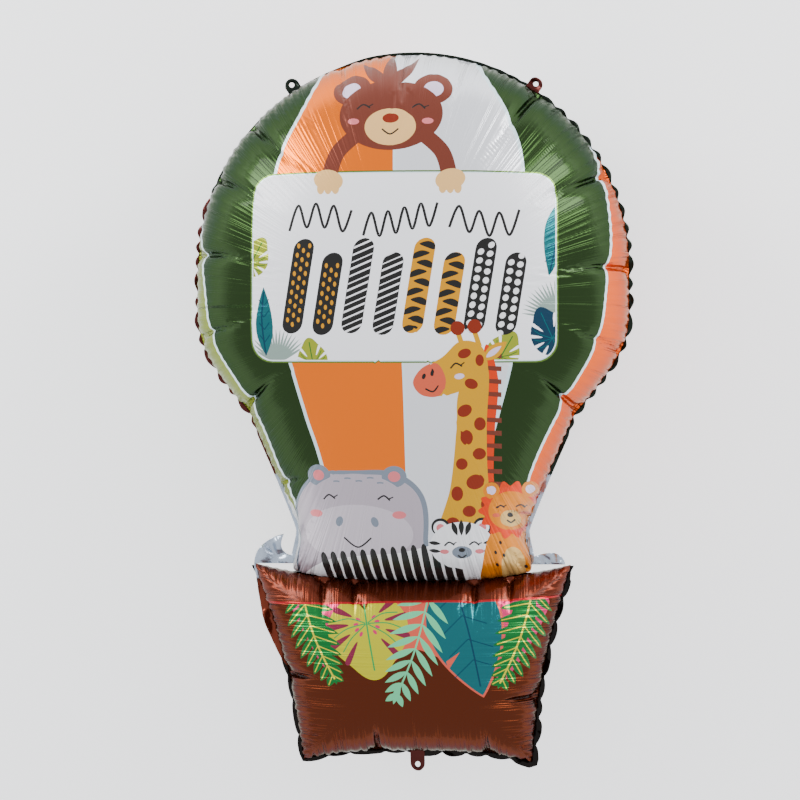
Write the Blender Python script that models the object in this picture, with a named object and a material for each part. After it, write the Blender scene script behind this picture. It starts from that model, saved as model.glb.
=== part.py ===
"""A foil balloon in the shape of a hot-air balloon with its basket, lying on its back.

Two sheets of foil are welded together along a margin that runs all round, and blown up:
a round envelope, a narrow channel at the waist, and a basket with drawn-out corners.
Units are metres. +Z is up, out of the printed front, +Y runs from the basket to the crown,
and the origin is on the floor under the middle of the outline.
"""
import math

import bmesh
import bpy
from mathutils import Vector
from mathutils.geometry import interpolate_bezier

# Envelope: a round upper part, and a taper from its shoulders down to the waist
ENVELOPE_RADIUS = 0.270
ENVELOPE_HALF_DEPTH = 0.160
DEEPEST_BELOW = 0.048
SHOULDER_BELOW = 0.180
NECK_HALF_WIDTH = 0.141
NECK_SHARE = 0.73
WAIST_BELOW = 0.385
WAIST_HALF_WIDTH = 0.149
WAIST_HALF_DEPTH = 0.034
WAIST_BOW = 0.010

# Basket: a pillow with four drawn-out corners
BASKET_HEIGHT = 0.214
BASKET_TOP_HALF_WIDTH = 0.196
BASKET_BOTTOM_HALF_WIDTH = 0.140
BASKET_SIDE_PULL = 0.009
BASKET_HALF_DEPTH = 0.082
BASKET_TOP_BOW = 0.018
BASKET_BOTTOM_BOW = 0.014
BOW_POWER = 3

# How full the blown-up sections are: 2 is an ellipse, and more is fuller
CROWN_FULLNESS = 2.45
NECK_FULLNESS = 2.1
BASKET_FULLNESS = 2.5
CHANNEL_SHARE = 0.25

# Welded margin round the outline, gathered into scallops
MARGIN_WIDTH = 0.0075
MARGIN_PINCH = 0.0030
MARGIN_CROWN_WIDTH = 0.0040
MARGIN_THICKNESS = 0.0012
SCALLOP_LENGTH = 0.034

# Tabs on the margin, each with an eyelet for a ribbon, measured from the weld
TAB_WIDTH = 0.018
TAB_LENGTH = 0.0270
SHOULDER_TAB_LENGTH = 0.0175
SHOULDER_TAB_ANGLES = (123.0, 56.5)
TAB_ROOT = 0.012
TAB_THICKNESS = 0.0015
EYELET_DIAMETER = 0.0066
EYELET_FROM_END = 0.0080

# Flat film left standing at the waist: a horn on the left and a low lobe on the right,
# placed from the basket's upper corners and from the neck
HORN_HEIGHT = 0.055
HORN_OVERHANG = 0.009
HORN_TIP_INSET = 0.034
HORN_NOTCH_WIDTH = 0.012
HORN_NOTCH_FOOT = 0.034
LOBE_HEIGHT = 0.032
LOBE_START = 0.022
LOBE_INSET = 0.002
FLAP_ROOT = 0.020
FLAP_THICKNESS = 0.0018

# How much of the back has settled flat on the floor
REST_CUT = 0.0060

# Deep creases that run in from the weld: (angle round the envelope, length, depth)
ENVELOPE_CREASES = (
    (90.5, 0.034, 0.006), (109.0, 0.040, 0.006), (138.0, 0.066, 0.008), (155.0, 0.060, 0.008),
    (176.0, 0.066, 0.007), (198.5, 0.050, 0.006), (220.0, 0.076, 0.010), (75.5, 0.030, 0.005),
    (54.0, 0.070, 0.009), (25.6, 0.076, 0.008), (0.0, 0.076, 0.008), (-22.0, 0.045, 0.006),
    (-40.0, 0.080, 0.010),
)
# On the neck: (side, distance above the waist, length, depth)
NECK_CREASES = ((-1, 0.120, 0.060, 0.007), (1, 0.080, 0.045, 0.006))
# On the basket: (edge, share along it from the middle or from the top, length, depth)
BASKET_CREASES = (
    ("top", -0.55, 0.040, 0.006), ("top", -0.35, 0.038, 0.006),
    ("top", 0.40, 0.044, 0.006), ("top", 0.62, 0.038, 0.005),
    ("left", 0.55, 0.046, 0.006), ("right", 0.66, 0.052, 0.007),
    ("bottom", -0.33, 0.040, 0.007), ("bottom", 0.63, 0.030, 0.005),
)
CREASE_HALF_WIDTH = 0.010

# Mesh: columns round a section, and rows down the crown, the neck and the basket
COLUMNS = 42
CROWN_ROWS = 40
NECK_ROWS = 18
BASKET_ROWS = 20
ARC_STEPS = 10

# Places that follow from the sizes
TOTAL_LENGTH = MARGIN_CROWN_WIDTH + ENVELOPE_RADIUS + WAIST_BELOW + BASKET_HEIGHT + TAB_LENGTH
CENTRE_Y = TOTAL_LENGTH / 2 - MARGIN_CROWN_WIDTH - ENVELOPE_RADIUS
SHOULDER_Y = CENTRE_Y - SHOULDER_BELOW
SHOULDER_HALF_WIDTH = math.sqrt(ENVELOPE_RADIUS**2 - SHOULDER_BELOW**2)
WAIST_Y = CENTRE_Y - WAIST_BELOW
BOTTOM_Y = WAIST_Y - BASKET_HEIGHT
WELD_Z = ENVELOPE_HALF_DEPTH - REST_CUT

FOIL_COLOUR = (0.035, 0.075, 0.020, 1.0)


def blend(a, b, share):
    return a + (b - a) * share


def smooth(share):
    share = min(1.0, max(0.0, share))
    return share * share * (3 - 2 * share)


def full_arch(share, fullness):
    """A super-ellipse's height at this share of its half-width."""
    return max(0.0, 1 - abs(share) ** fullness) ** (1 / fullness)


def envelope_half_depth(y):
    """The envelope's half-thickness on its middle line."""
    above = y - (CENTRE_Y - DEEPEST_BELOW)
    if above > 0:
        rise = above / (ENVELOPE_RADIUS + DEEPEST_BELOW)
        return ENVELOPE_HALF_DEPTH * full_arch(rise, CROWN_FULLNESS)
    fall = full_arch(above / (WAIST_BELOW - DEEPEST_BELOW), NECK_FULLNESS)
    return blend(WAIST_HALF_DEPTH, ENVELOPE_HALF_DEPTH, fall)


def envelope_half_width(y):
    """The weld's distance from the middle line: an arc, a taper, and a flare at the waist."""
    if y >= SHOULDER_Y:
        return math.sqrt(max(0.0, ENVELOPE_RADIUS**2 - (y - CENTRE_Y) ** 2))
    share = (SHOULDER_Y - y) / (SHOULDER_Y - WAIST_Y)
    taper = 1 - max(0.0, 1 - share / NECK_SHARE) ** 1.15
    flare = smooth((share - NECK_SHARE) / (1 - NECK_SHARE))
    return (
        blend(SHOULDER_HALF_WIDTH, NECK_HALF_WIDTH, taper)
        + (WAIST_HALF_WIDTH - NECK_HALF_WIDTH) * flare
    )


def basket_half_width(share):
    """The weld's distance from the middle line, at this share of the way down."""
    straight = blend(BASKET_TOP_HALF_WIDTH, BASKET_BOTTOM_HALF_WIDTH, share)
    return straight - BASKET_SIDE_PULL * math.sin(math.pi * share)


def basket_bow(share):
    """How far a row's ends stand above its middle."""
    return BASKET_TOP_BOW * (1 - share) ** 3 - BASKET_BOTTOM_BOW * share**3


def channel_half_depth(x, share):
    """The half-thickness that the channel at the waist gives the top of the basket."""
    channel = WAIST_HALF_DEPTH * full_arch(min(1.0, abs(x) / WAIST_HALF_WIDTH), CROWN_FULLNESS)
    return channel * (1 - smooth(share / CHANNEL_SHARE))


def envelope_row(y):
    """A row as (y, bow, half-width, function that gives the half-thickness at x)."""
    half_width, half_depth = envelope_half_width(y), envelope_half_depth(y)
    bow = WAIST_BOW * smooth((SHOULDER_Y - y) / (SHOULDER_Y - WAIST_Y)) ** 3
    return y, bow, half_width, lambda x: half_depth * full_arch(x / half_width, CROWN_FULLNESS)


def basket_row(share):
    """A row of the basket, from the waist (share 0) to the bottom weld (share 1)."""
    half_width = basket_half_width(share)
    half_depth = BASKET_HALF_DEPTH * full_arch(2 * share - 1, BASKET_FULLNESS)

    def depth(x):
        pillow = half_depth * full_arch(x / half_width, BASKET_FULLNESS)
        return math.hypot(pillow, channel_half_depth(x, share))

    return blend(WAIST_Y, BOTTOM_Y, share), basket_bow(share), half_width, depth


def body_rows():
    """Every row of the body but its two ends, crown first."""
    lowest = -math.asin(SHOULDER_BELOW / ENVELOPE_RADIUS)
    rows = []
    for i in range(1, CROWN_ROWS + 1):
        angle = blend(math.pi / 2, lowest, (i / CROWN_ROWS) ** 0.9)
        rows.append(envelope_row(CENTRE_Y + ENVELOPE_RADIUS * math.sin(angle)))
    for i in range(1, NECK_ROWS + 1):
        share = math.sin(math.pi / 2 * i / NECK_ROWS)
        rows.append(envelope_row(blend(SHOULDER_Y, WAIST_Y, share)))
    for i in range(1, BASKET_ROWS):
        rows.append(basket_row((1 - math.cos(math.pi * i / BASKET_ROWS)) / 2))
    return rows


def section_point(row, turn):
    """A point of a row's section, at this share of a turn from its right-hand end."""
    y, bow, half_width, depth = row
    across = math.cos(2 * math.pi * turn)
    x = half_width * math.copysign(abs(across) ** 0.82, across)
    z = math.copysign(depth(x), math.sin(2 * math.pi * turn))
    return Vector((x, y + bow * abs(x / half_width) ** BOW_POWER, z))


def end_row(y, bow, half_width):
    """A row where the two sheets meet: the crown's point, or the weld under the basket."""
    return y, bow, max(half_width, 1e-9), lambda x: 0.0


def basket_edge(edge, share):
    """A point on one of the basket's edges, and the way in from it."""
    if edge in ("top", "bottom"):
        down = 0.0 if edge == "top" else 1.0
        x = share * basket_half_width(down)
        y = blend(WAIST_Y, BOTTOM_Y, down) + basket_bow(down) * abs(share) ** BOW_POWER
        return Vector((x, y)), Vector((0, 2 * down - 1))
    side = -1 if edge == "left" else 1
    y = blend(WAIST_Y, BOTTOM_Y, share) + basket_bow(share)
    return Vector((side * basket_half_width(share), y)), Vector((-side, 0))


def creases():
    """Every deep crease as (start, heading, length, depth)."""
    found = []
    for angle, length, depth in ENVELOPE_CREASES:
        out = Vector((math.cos(math.radians(angle)), math.sin(math.radians(angle))))
        found.append((Vector((0, CENTRE_Y)) + out * ENVELOPE_RADIUS, -out, length, depth))
    for side, above, length, depth in NECK_CREASES:
        start = Vector((side * envelope_half_width(WAIST_Y + above), WAIST_Y + above))
        found.append((start, Vector((-side, 0.25)).normalized(), length, depth))
    for edge, share, length, depth in BASKET_CREASES:
        start, heading = basket_edge(edge, share)
        found.append((start, heading, length, depth))
    return found


def crease_dip(point, all_creases):
    """How far the foil is drawn in at this point of the outline's plane."""
    dip = 0.0
    for start, heading, length, depth in all_creases:
        offset = point.xy - start
        along = offset.dot(heading)
        across = offset.cross(heading) / CREASE_HALF_WIDTH
        if along > -0.001:
            dip += depth * (1 - smooth(along / length)) * math.exp(-(across**2))
    return dip


def mesh_object(name, mesh):
    data = bpy.data.meshes.new(name)
    mesh.to_mesh(data)
    mesh.free()
    return bpy.data.objects.new(name, data)


def make_body():
    """The blown-up foil, one closed skin of rows from the crown to the bottom weld."""
    crown = end_row(CENTRE_Y + ENVELOPE_RADIUS, 0.0, 0.0)
    bottom = end_row(BOTTOM_Y, basket_bow(1.0), basket_half_width(1.0))
    rows = [crown] + body_rows() + [bottom]
    mesh = bmesh.new()
    bmesh.ops.create_grid(mesh, x_segments=COLUMNS, y_segments=len(rows) - 1, size=0.5)
    for vertex in mesh.verts:
        row = rows[round((0.5 - vertex.co.y) * (len(rows) - 1))]
        vertex.co = section_point(row, vertex.co.x + 0.5)
    bmesh.ops.remove_doubles(mesh, verts=mesh.verts, dist=0.00002)
    bmesh.ops.recalc_face_normals(mesh, faces=mesh.faces)
    if mesh.calc_volume(signed=True) < 0:
        bmesh.ops.reverse_faces(mesh, faces=mesh.faces)
    mesh.normal_update()
    all_creases = creases()
    dips = [(vertex, vertex.normal * crease_dip(vertex.co, all_creases)) for vertex in mesh.verts]
    for vertex, dip in dips:
        vertex.co -= dip
        vertex.co.z = max(vertex.co.z + WELD_Z, 0.0)
    return mesh_object("foil_balloon", mesh)


def scalloped(line, turn):
    """The margin's outer edge along this weld line, turned out to its left (1) or right (-1)."""
    edge, travelled, target = [], 0.0, 0.0
    step = SCALLOP_LENGTH / 5
    for a, b in zip(line, line[1:]):
        direction = (b - a).normalized()
        outward = Vector((-direction.y, direction.x)) * turn
        length = (b - a).length
        while target <= travelled + length:
            point = a + direction * (target - travelled)
            wave = abs(math.sin(math.pi * target / SCALLOP_LENGTH)) ** 0.6
            width = blend(MARGIN_PINCH, MARGIN_WIDTH, wave)
            crown = smooth((point.y - CENTRE_Y) / ENVELOPE_RADIUS / 0.4 - 1.5)
            edge.append(point + outward * blend(width, MARGIN_CROWN_WIDTH, crown))
            target += step
        travelled += length
    return edge


def mirrored(line):
    return [Vector((-point.x, point.y)) for point in reversed(line)]


def envelope_margin():
    """The margin's outline round the envelope, closed across the waist."""
    rows = [row for row in body_rows() if row[0] > WAIST_Y - 0.001]
    left = [Vector((0, CENTRE_Y + ENVELOPE_RADIUS))]
    left += [Vector((-row[2], row[0] + row[1])) for row in rows]
    side = scalloped(left, -1)
    return side + mirrored(side)[:-1]


def basket_margin():
    """The margin's outline down the basket's sides and under it."""
    shares = [i / 40 for i in range(41)]
    left = [
        Vector((-basket_half_width(s), blend(WAIST_Y, BOTTOM_Y, s) + basket_bow(s))) for s in shares
    ]
    half_width, bow = basket_half_width(1.0), basket_bow(1.0)
    xs = [half_width * (i / 14 - 1) for i in range(1, 15)]
    left += [Vector((x, BOTTOM_Y + bow * abs(x / half_width) ** BOW_POWER)) for x in xs]
    side = scalloped(left, -1)
    return side + mirrored(side)


def tab(angle, base, length):
    """A round-ended tab that stands out from the weld at base, and its eyelet."""
    outward = Vector((math.cos(math.radians(angle)), math.sin(math.radians(angle))))
    across = Vector((-outward.y, outward.x)) * TAB_WIDTH / 2
    root, end = base - outward * TAB_ROOT, base + outward * (length - TAB_WIDTH / 2)
    body = [root + across, root - across] + arc(end, TAB_WIDTH / 2, angle - 90, angle + 90)
    eyelet = base + outward * (length - EYELET_FROM_END)
    return body, arc(eyelet, EYELET_DIAMETER / 2, 0, 342)


def arc(centre, radius, start, end):
    steps = ARC_STEPS if end - start < 200 else 2 * ARC_STEPS - 1
    angles = [math.radians(blend(start, end, i / steps)) for i in range(steps + 1)]
    return [centre + Vector((math.cos(a), math.sin(a))) * radius for a in angles]


def bezier(points, steps):
    """A smooth curve from the first point to the last, drawn towards the two between."""
    knots = [Vector((x, WAIST_Y + y, 0)) for x, y in points]
    return [point.xy for point in interpolate_bezier(*knots, steps)]


def horn():
    """The left flap: up the outside to its tip, and down round the notch beside the neck."""
    reach, notch = BASKET_TOP_HALF_WIDTH + HORN_OVERHANG, NECK_HALF_WIDTH + HORN_NOTCH_WIDTH
    tip = (HORN_TIP_INSET - BASKET_TOP_HALF_WIDTH, HORN_HEIGHT)
    foot = (0.006 - BASKET_TOP_HALF_WIDTH, -0.15 * HORN_HEIGHT)
    shoulder = (tip[0] - 0.4 * (tip[0] + reach), 0.95 * HORN_HEIGHT)
    notch_foot = (0.004 - NECK_HALF_WIDTH, HORN_NOTCH_FOOT)
    outer = bezier([foot, (-reach - HORN_OVERHANG, 0.6 * HORN_HEIGHT), shoulder, tip], 14)
    inner = bezier(
        [tip, (-notch - FLAP_ROOT, 0.55 * HORN_HEIGHT), (-notch, 0.4 * HORN_HEIGHT), notch_foot], 12
    )
    return outer + inner[1:] + [Vector((FLAP_ROOT - NECK_HALF_WIDTH, WAIST_Y + 0.004))]


def lobe():
    """The right flap, a low rounded lobe over the basket's corner."""
    reach = BASKET_TOP_HALF_WIDTH - LOBE_INSET
    start, foot = (NECK_HALF_WIDTH - 0.004, LOBE_START), (reach - 0.004, -0.004)
    middle, outside = (NECK_HALF_WIDTH + FLAP_ROOT, LOBE_HEIGHT), (reach + 0.006, 1.5 * LOBE_HEIGHT)
    over = bezier([start, middle, outside, foot], 14)
    return over + [Vector((NECK_HALF_WIDTH - FLAP_ROOT, WAIST_Y + 0.004))]


def plate(name, thickness, outlines):
    """A flat sheet of welded foil inside the first outline, the others being holes."""
    curve = bpy.data.curves.new(name, "CURVE")
    curve.dimensions = "2D"
    curve.fill_mode = "BOTH"
    curve.extrude = thickness / 2
    for outline in outlines:
        spline = curve.splines.new("POLY")
        spline.points.add(len(outline) - 1)
        for point, place in zip(spline.points, outline):
            point.co = (place.x, place.y, 0, 1)
        spline.use_cyclic_u = True
    flat = bpy.data.objects.new(name, curve)
    flat.location.z = WELD_Z
    bpy.context.scene.collection.objects.link(flat)
    graph = bpy.context.evaluated_depsgraph_get()
    data = bpy.data.meshes.new_from_object(flat.evaluated_get(graph))
    data.transform(flat.matrix_world)
    bpy.data.objects.remove(flat)
    mesh = bmesh.new()
    mesh.from_mesh(data)
    bpy.data.meshes.remove(data)
    bmesh.ops.remove_doubles(mesh, verts=mesh.verts, dist=0.00001)
    bmesh.ops.recalc_face_normals(mesh, faces=mesh.faces)
    return mesh_object(name, mesh)


def plates():
    """Every flat piece of the margin that is joined to the blown-up body."""
    made = [
        plate("envelope_margin", MARGIN_THICKNESS, [envelope_margin()]),
        plate("basket_margin", MARGIN_THICKNESS + 0.0001, [basket_margin()]),
        plate("waist_horn", FLAP_THICKNESS, [horn()]),
        plate("waist_lobe", FLAP_THICKNESS, [lobe()]),
        plate("bottom_tab", TAB_THICKNESS, tab(-90, Vector((0, BOTTOM_Y)), TAB_LENGTH)),
    ]
    for number, angle in enumerate(SHOULDER_TAB_ANGLES, 1):
        out = Vector((math.cos(math.radians(angle)), math.sin(math.radians(angle))))
        base = Vector((0, CENTRE_Y)) + out * ENVELOPE_RADIUS
        outlines = tab(angle, base, SHOULDER_TAB_LENGTH)
        made.append(plate(f"shoulder_tab_{number}", TAB_THICKNESS, outlines))
    return made


def foil_material():
    material = bpy.data.materials.new("printed foil")
    material.use_nodes = True
    shader = material.node_tree.nodes["Principled BSDF"]
    shader.inputs["Base Color"].default_value = FOIL_COLOUR
    shader.inputs["Metallic"].default_value = 0.8
    shader.inputs["Roughness"].default_value = 0.3
    return material


def collection(name):
    made = bpy.data.collections.new(name)
    bpy.context.scene.collection.children.link(made)
    return made


def main():
    for old in list(bpy.data.objects):
        bpy.data.objects.remove(old)
    balloon = make_body()
    collection("gender reveal foil balloon").objects.link(balloon)
    flat_pieces = collection("flat pieces of the margin")
    for piece in plates():
        piece.display_type = "WIRE"
        piece.hide_render = True
        flat_pieces.objects.link(piece)
    union = balloon.modifiers.new("welded margin", "BOOLEAN")
    union.operation = "UNION"
    union.solver = "EXACT"
    union.operand_type = "COLLECTION"
    union.collection = flat_pieces
    balloon.data.materials.append(foil_material())
    balloon.data.shade_smooth()
    balloon.data.set_sharp_from_angle(angle=math.radians(50))


main()
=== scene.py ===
"""The looks of a foil balloon shaped like a hot-air balloon with its basket.

Each film panel is a lattice that the cloth solver blows up from its flat cut. The print is a
set of outlines cut into that panel, so that every colour has a crisp edge. Lengths are in
metres, and the print is laid out in millimetres: x from the middle line, y along the balloon.
"""

import math

import bmesh
import bpy
import numpy as np
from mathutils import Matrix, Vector, noise
from mathutils.geometry import delaunay_2d_cdt, interpolate_bezier


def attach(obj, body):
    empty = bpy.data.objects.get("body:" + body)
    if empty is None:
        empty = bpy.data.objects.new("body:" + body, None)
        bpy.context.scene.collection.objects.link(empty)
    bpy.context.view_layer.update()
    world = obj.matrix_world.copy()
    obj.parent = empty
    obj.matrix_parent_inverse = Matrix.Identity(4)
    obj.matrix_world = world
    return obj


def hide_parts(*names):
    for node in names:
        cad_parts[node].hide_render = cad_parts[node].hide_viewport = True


bl_info = {
    "name": "Foil balloon",
    "version": (1, 0, 0),
    "blender": (4, 5, 0),
    "location": "View3D > Sidebar > Balloon",
    "description": "Builds a printed foil balloon, its welded margin and a studio stage",
    "category": "Object",
}

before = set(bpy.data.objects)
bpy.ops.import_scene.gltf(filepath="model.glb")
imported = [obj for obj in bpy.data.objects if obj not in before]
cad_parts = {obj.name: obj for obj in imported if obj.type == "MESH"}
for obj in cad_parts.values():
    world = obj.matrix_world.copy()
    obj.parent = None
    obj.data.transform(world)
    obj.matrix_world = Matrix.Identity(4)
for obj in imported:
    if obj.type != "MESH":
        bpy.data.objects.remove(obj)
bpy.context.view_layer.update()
MM = 0.001

# Form of the blown-up balloon. It follows the solid's, with fuller lower shoulders and a basket
# that is 2 to 3 mm wider on each side and leans a little to the right.
ENVELOPE_RADIUS = 0.270
ENVELOPE_HALF_DEPTH = 0.160
DEEPEST_BELOW = 0.048
SHOULDER_BELOW = 0.180
NECK_HALF_WIDTH = 0.141
NECK_SHARE = 0.73
LOW_BULGE = 0.009
LOW_BULGE_BELOW = 0.089
LOW_BULGE_REACH = 0.080
WAIST_BELOW = 0.385
WAIST_HALF_WIDTH = 0.149
WAIST_HALF_DEPTH = 0.034
WAIST_BOW = 0.010
BASKET_HEIGHT = 0.214
BASKET_TOP_HALF_WIDTH = 0.198
BASKET_BOTTOM_HALF_WIDTH = 0.143
BASKET_LEAN = 0.028
BASKET_SIDE_PULL = 0.009
BASKET_HALF_DEPTH = 0.082
BASKET_TOP_BOW = 0.018
BASKET_BOTTOM_BOW = 0.014
BOW_POWER = 3
CROWN_FULLNESS = 2.45
NECK_FULLNESS = 2.1
BASKET_FULLNESS = 2.5
CHANNEL_SHARE = 0.25
CENTRE_Y = 0.176
SHOULDER_Y = CENTRE_Y - SHOULDER_BELOW
SHOULDER_HALF_WIDTH = math.sqrt(ENVELOPE_RADIUS**2 - SHOULDER_BELOW**2)
WAIST_Y = CENTRE_Y - WAIST_BELOW
BOTTOM_Y = WAIST_Y - BASKET_HEIGHT
WELD_Z = 0.154
HUB_Y = CENTRE_Y - DEEPEST_BELOW

# The settled lattice is refined this many times before the fine pleats are laid on it
REFINEMENT = 4

# Deep creases that run in from the weld: (angle round the envelope, length, depth)
ENVELOPE_CREASES = (
    (90.5, 0.034, 0.006), (109.0, 0.040, 0.006), (138.0, 0.066, 0.010), (155.0, 0.060, 0.010),
    (176.0, 0.066, 0.009), (198.5, 0.050, 0.007), (220.0, 0.076, 0.012), (75.5, 0.030, 0.005),
    (54.0, 0.070, 0.011), (25.6, 0.076, 0.010), (0.0, 0.076, 0.009), (-22.0, 0.045, 0.007),
    (-40.0, 0.080, 0.012),
)
# On the neck: (side, distance above the waist, length, depth)
NECK_CREASES = ((-1, 0.120, 0.060, 0.007), (1, 0.080, 0.045, 0.006))
# On the basket: (edge, share along it from the middle or from the top, length, depth)
BASKET_CREASES = (
    ("top", -0.55, 0.055, 0.010), ("top", -0.35, 0.048, 0.009),
    ("top", 0.40, 0.058, 0.010), ("top", 0.62, 0.050, 0.009),
    ("left", 0.55, 0.050, 0.010), ("right", 0.66, 0.056, 0.011),
    ("bottom", -0.33, 0.045, 0.010), ("bottom", 0.63, 0.035, 0.008),
)
CREASE_HALF_WIDTH = 0.009
TUCK_HALF_WIDTH = 0.0026
TUCK_LIP_ASIDE = 0.0055
TUCK_LIP_HALF_WIDTH = 0.0030

# Finest pleats, which only the material draws
FINE_PLEAT_SPACING = 0.005405
FINE_PLEAT_DEPTH = 0.0017
FINE_PLEAT_RUN = 0.065

# Welded margin, tabs and flaps. The margin is turned under round the envelope's upper left, and
# its foil shows maroon on the left and dark on the right, and bare silver on the neck.
MARGIN_WIDTH = 0.0066
MARGIN_CROWN_WIDTH = 0.0040
MARGIN_RIGHT_OF_BASKET = 1.4
TURNED_UNDER_WIDTH = 0.0016
TURNED_UNDER_DEGREES = (100, 164)
NECK_MARGIN_WIDTH = 0.0056
MAROON_BELOW_Y = CENTRE_Y + 0.1
SILVER_BELOW_Y = SHOULDER_Y - 0.075
SCALLOP_LENGTH = 0.024
BASKET_SCALLOP_LENGTH = 0.034
SIDE_FOLD_WIDTH = 0.0125
SIDE_FOLD_SHARES = (0.05, 0.52)
TAB_WIDTH = 0.018
TAB_LENGTH = 0.0270
SHOULDER_TAB_LENGTH = 0.0175
SHOULDER_TAB_ANGLES = (123.0, 56.5)
EYELET_DIAMETER = 0.0066
EYELET_FROM_END = 0.0080
FOIL_THICKNESS = 0.0004
MARGIN_WAVE = 0.0022
FLAP_CRUMPLE = 0.011
FLAP_SINK = 0.004

# The camera looks at this place on the weld's plane
CAMERA_AIM = (-0.0157, 0.0143, WELD_Z)

# Soft boxes: (name, place, width and height, power in watts)
SOFT_BOXES = (
    ("left soft box", (-1.7, 1.3, 0.95), (0.7, 1.5), 38),
    ("right soft box", (1.7, 1.3, 0.95), (0.7, 1.5), 38),
)
FLOOR_HALF_WIDTH = 40

# Print colours: name -> (sRGB hex, how metallic the ink looks)
INKS = {
    "green": ("26391b", 0.90), "orange": ("f07000", 0.80), "silver": ("e2e3e8", 0.50),
    "olive": ("7f8c22", 0.70), "coral": ("df5812", 0.80), "line": ("d4e9ef", 0.35),
    # The lighter green rim round the board is painted light: a painted reflection of the white board in the
    # green film.
    "sign": ("f8f8fc", 0.08), "painted reflection": ("5f7d33", 0.80), "ink": ("1d1b1c", 0.20),
    "gold": ("d5910a", 0.45), "white": ("f2f1f4", 0.20), "cream": ("e6b673", 0.25),
    "pink": ("de767c", 0.40), "yellow": ("d3990f", 0.45), "spot": ("842a16", 0.45),
    "flame": ("db390a", 0.50), "grey": ("b2a7b1", 0.40), "pale grey": ("c6bcc5", 0.40),
    "fox": ("d97d06", 0.45), "teal": ("166268", 0.75), "navy": ("1b3b52", 0.75),
    "sage": ("8fa39a", 0.60), "lime": ("99a330", 0.70), "bark": ("713629", 0.50),
    "lilac": ("dcc9e3", 0.30), "coral muzzle": ("d95e42", 0.60), "shade grey": ("7d8795", 0.60),
    "chest": ("d3ab64", 0.50), "basket": ("54230f", 0.90), "rim": ("5f2412", 0.70),
    "red line": ("a81a20", 0.60), "leaf": ("12692d", 0.60), "vein": ("c9c12f", 0.60),
    "sun leaf": ("bbb719", 0.50), "mint": ("5ec891", 0.40), "magenta": ("ce2e65", 0.65),
    "salmon": ("d85946", 0.65), "back silver": ("aebaca", 0.70), "maroon edge": ("4b1a17", 0.70),
    "dark edge": ("141d15", 0.70), "black edge": ("120c0b", 0.70), "fold brown": ("6a2a17", 0.70),
    "plum": ("7d2440", 0.60), "new green": ("1f9a4c", 0.50),
}
OPAQUE_INK_ROUGHNESS = 0.36
CLEAR_INK_ROUGHNESS = 0.19


def linear(hex_code):
    """An sRGB hex colour as linear RGBA."""
    parts = [int(hex_code[i : i + 2], 16) / 255 for i in (0, 2, 4)]
    return [c / 12.92 if c <= 0.04045 else ((c + 0.055) / 1.055) ** 2.4 for c in parts] + [1.0]


def blend(a, b, share):
    """The value this share of the way from a to b."""
    return a + (b - a) * share


def unit(degrees):
    """A step of one in this direction."""
    return np.array([math.cos(math.radians(degrees)), math.sin(math.radians(degrees))])


def smooth(share):
    """An even rise from 0 to 1 that starts and ends level."""
    share = np.clip(share, 0, 1)
    return share * share * (3 - 2 * share)


def full_arch(share, fullness):
    """A super-ellipse's height at this share of its half-width."""
    return np.maximum(0, 1 - np.abs(np.clip(share, -1, 1)) ** fullness) ** (1 / fullness)


def envelope_half_width(y):
    """The weld's distance from the middle line: an arc, a taper, and a flare at the waist."""
    round_part = np.sqrt(np.maximum(1e-12, ENVELOPE_RADIUS**2 - (y - CENTRE_Y) ** 2))
    bulge = np.clip((y - CENTRE_Y + LOW_BULGE_BELOW) / LOW_BULGE_REACH, -1, 1)
    round_part = round_part + LOW_BULGE * np.cos(bulge * math.pi / 2) ** 2
    share = (SHOULDER_Y - y) / (SHOULDER_Y - WAIST_Y)
    taper = 1 - np.maximum(0, 1 - share / NECK_SHARE) ** 1.15
    flare = smooth((share - NECK_SHARE) / (1 - NECK_SHARE))
    neck = blend(SHOULDER_HALF_WIDTH, NECK_HALF_WIDTH, taper)
    return np.where(y >= SHOULDER_Y, round_part, neck + (WAIST_HALF_WIDTH - NECK_HALF_WIDTH) * flare)


def weld_rows(arc_count, neck_count):
    """Heights from the crown down to the waist: even in angle, and on the neck even in y."""
    angle = np.linspace(math.pi / 2, -math.asin(SHOULDER_BELOW / ENVELOPE_RADIUS), arc_count)
    arc = CENTRE_Y + ENVELOPE_RADIUS * np.sin(angle)
    return np.concatenate([arc, np.linspace(SHOULDER_Y, WAIST_Y, neck_count)[1:]])


def envelope_height(x, y):
    """The film's height over the weld."""
    above = y - HUB_Y
    crown = ENVELOPE_HALF_DEPTH * full_arch(above / (ENVELOPE_RADIUS + DEEPEST_BELOW), CROWN_FULLNESS)
    fall = full_arch(above / (WAIST_BELOW - DEEPEST_BELOW), NECK_FULLNESS)
    neck = blend(WAIST_HALF_DEPTH, ENVELOPE_HALF_DEPTH, fall)
    return np.where(above > 0, crown, neck) * full_arch(x / envelope_half_width(y), CROWN_FULLNESS)


def envelope_bow(x, y):
    """How far a row stands above its own middle."""
    share = smooth((SHOULDER_Y - y) / (SHOULDER_Y - WAIST_Y)) ** 3
    return WAIST_BOW * share * np.clip(np.abs(x / envelope_half_width(y)), 0, 1) ** BOW_POWER


def basket_half_width(share):
    """The weld's distance from the middle line at this share of the way down the basket."""
    straight = blend(BASKET_TOP_HALF_WIDTH, BASKET_BOTTOM_HALF_WIDTH, share)
    return straight - BASKET_SIDE_PULL * np.sin(math.pi * share)


def basket_bow(share):
    """How far the corners stand above the middle of a row: up at the rim, down at the bottom."""
    return BASKET_TOP_BOW * (1 - share) ** 3 - BASKET_BOTTOM_BOW * share**3


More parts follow.
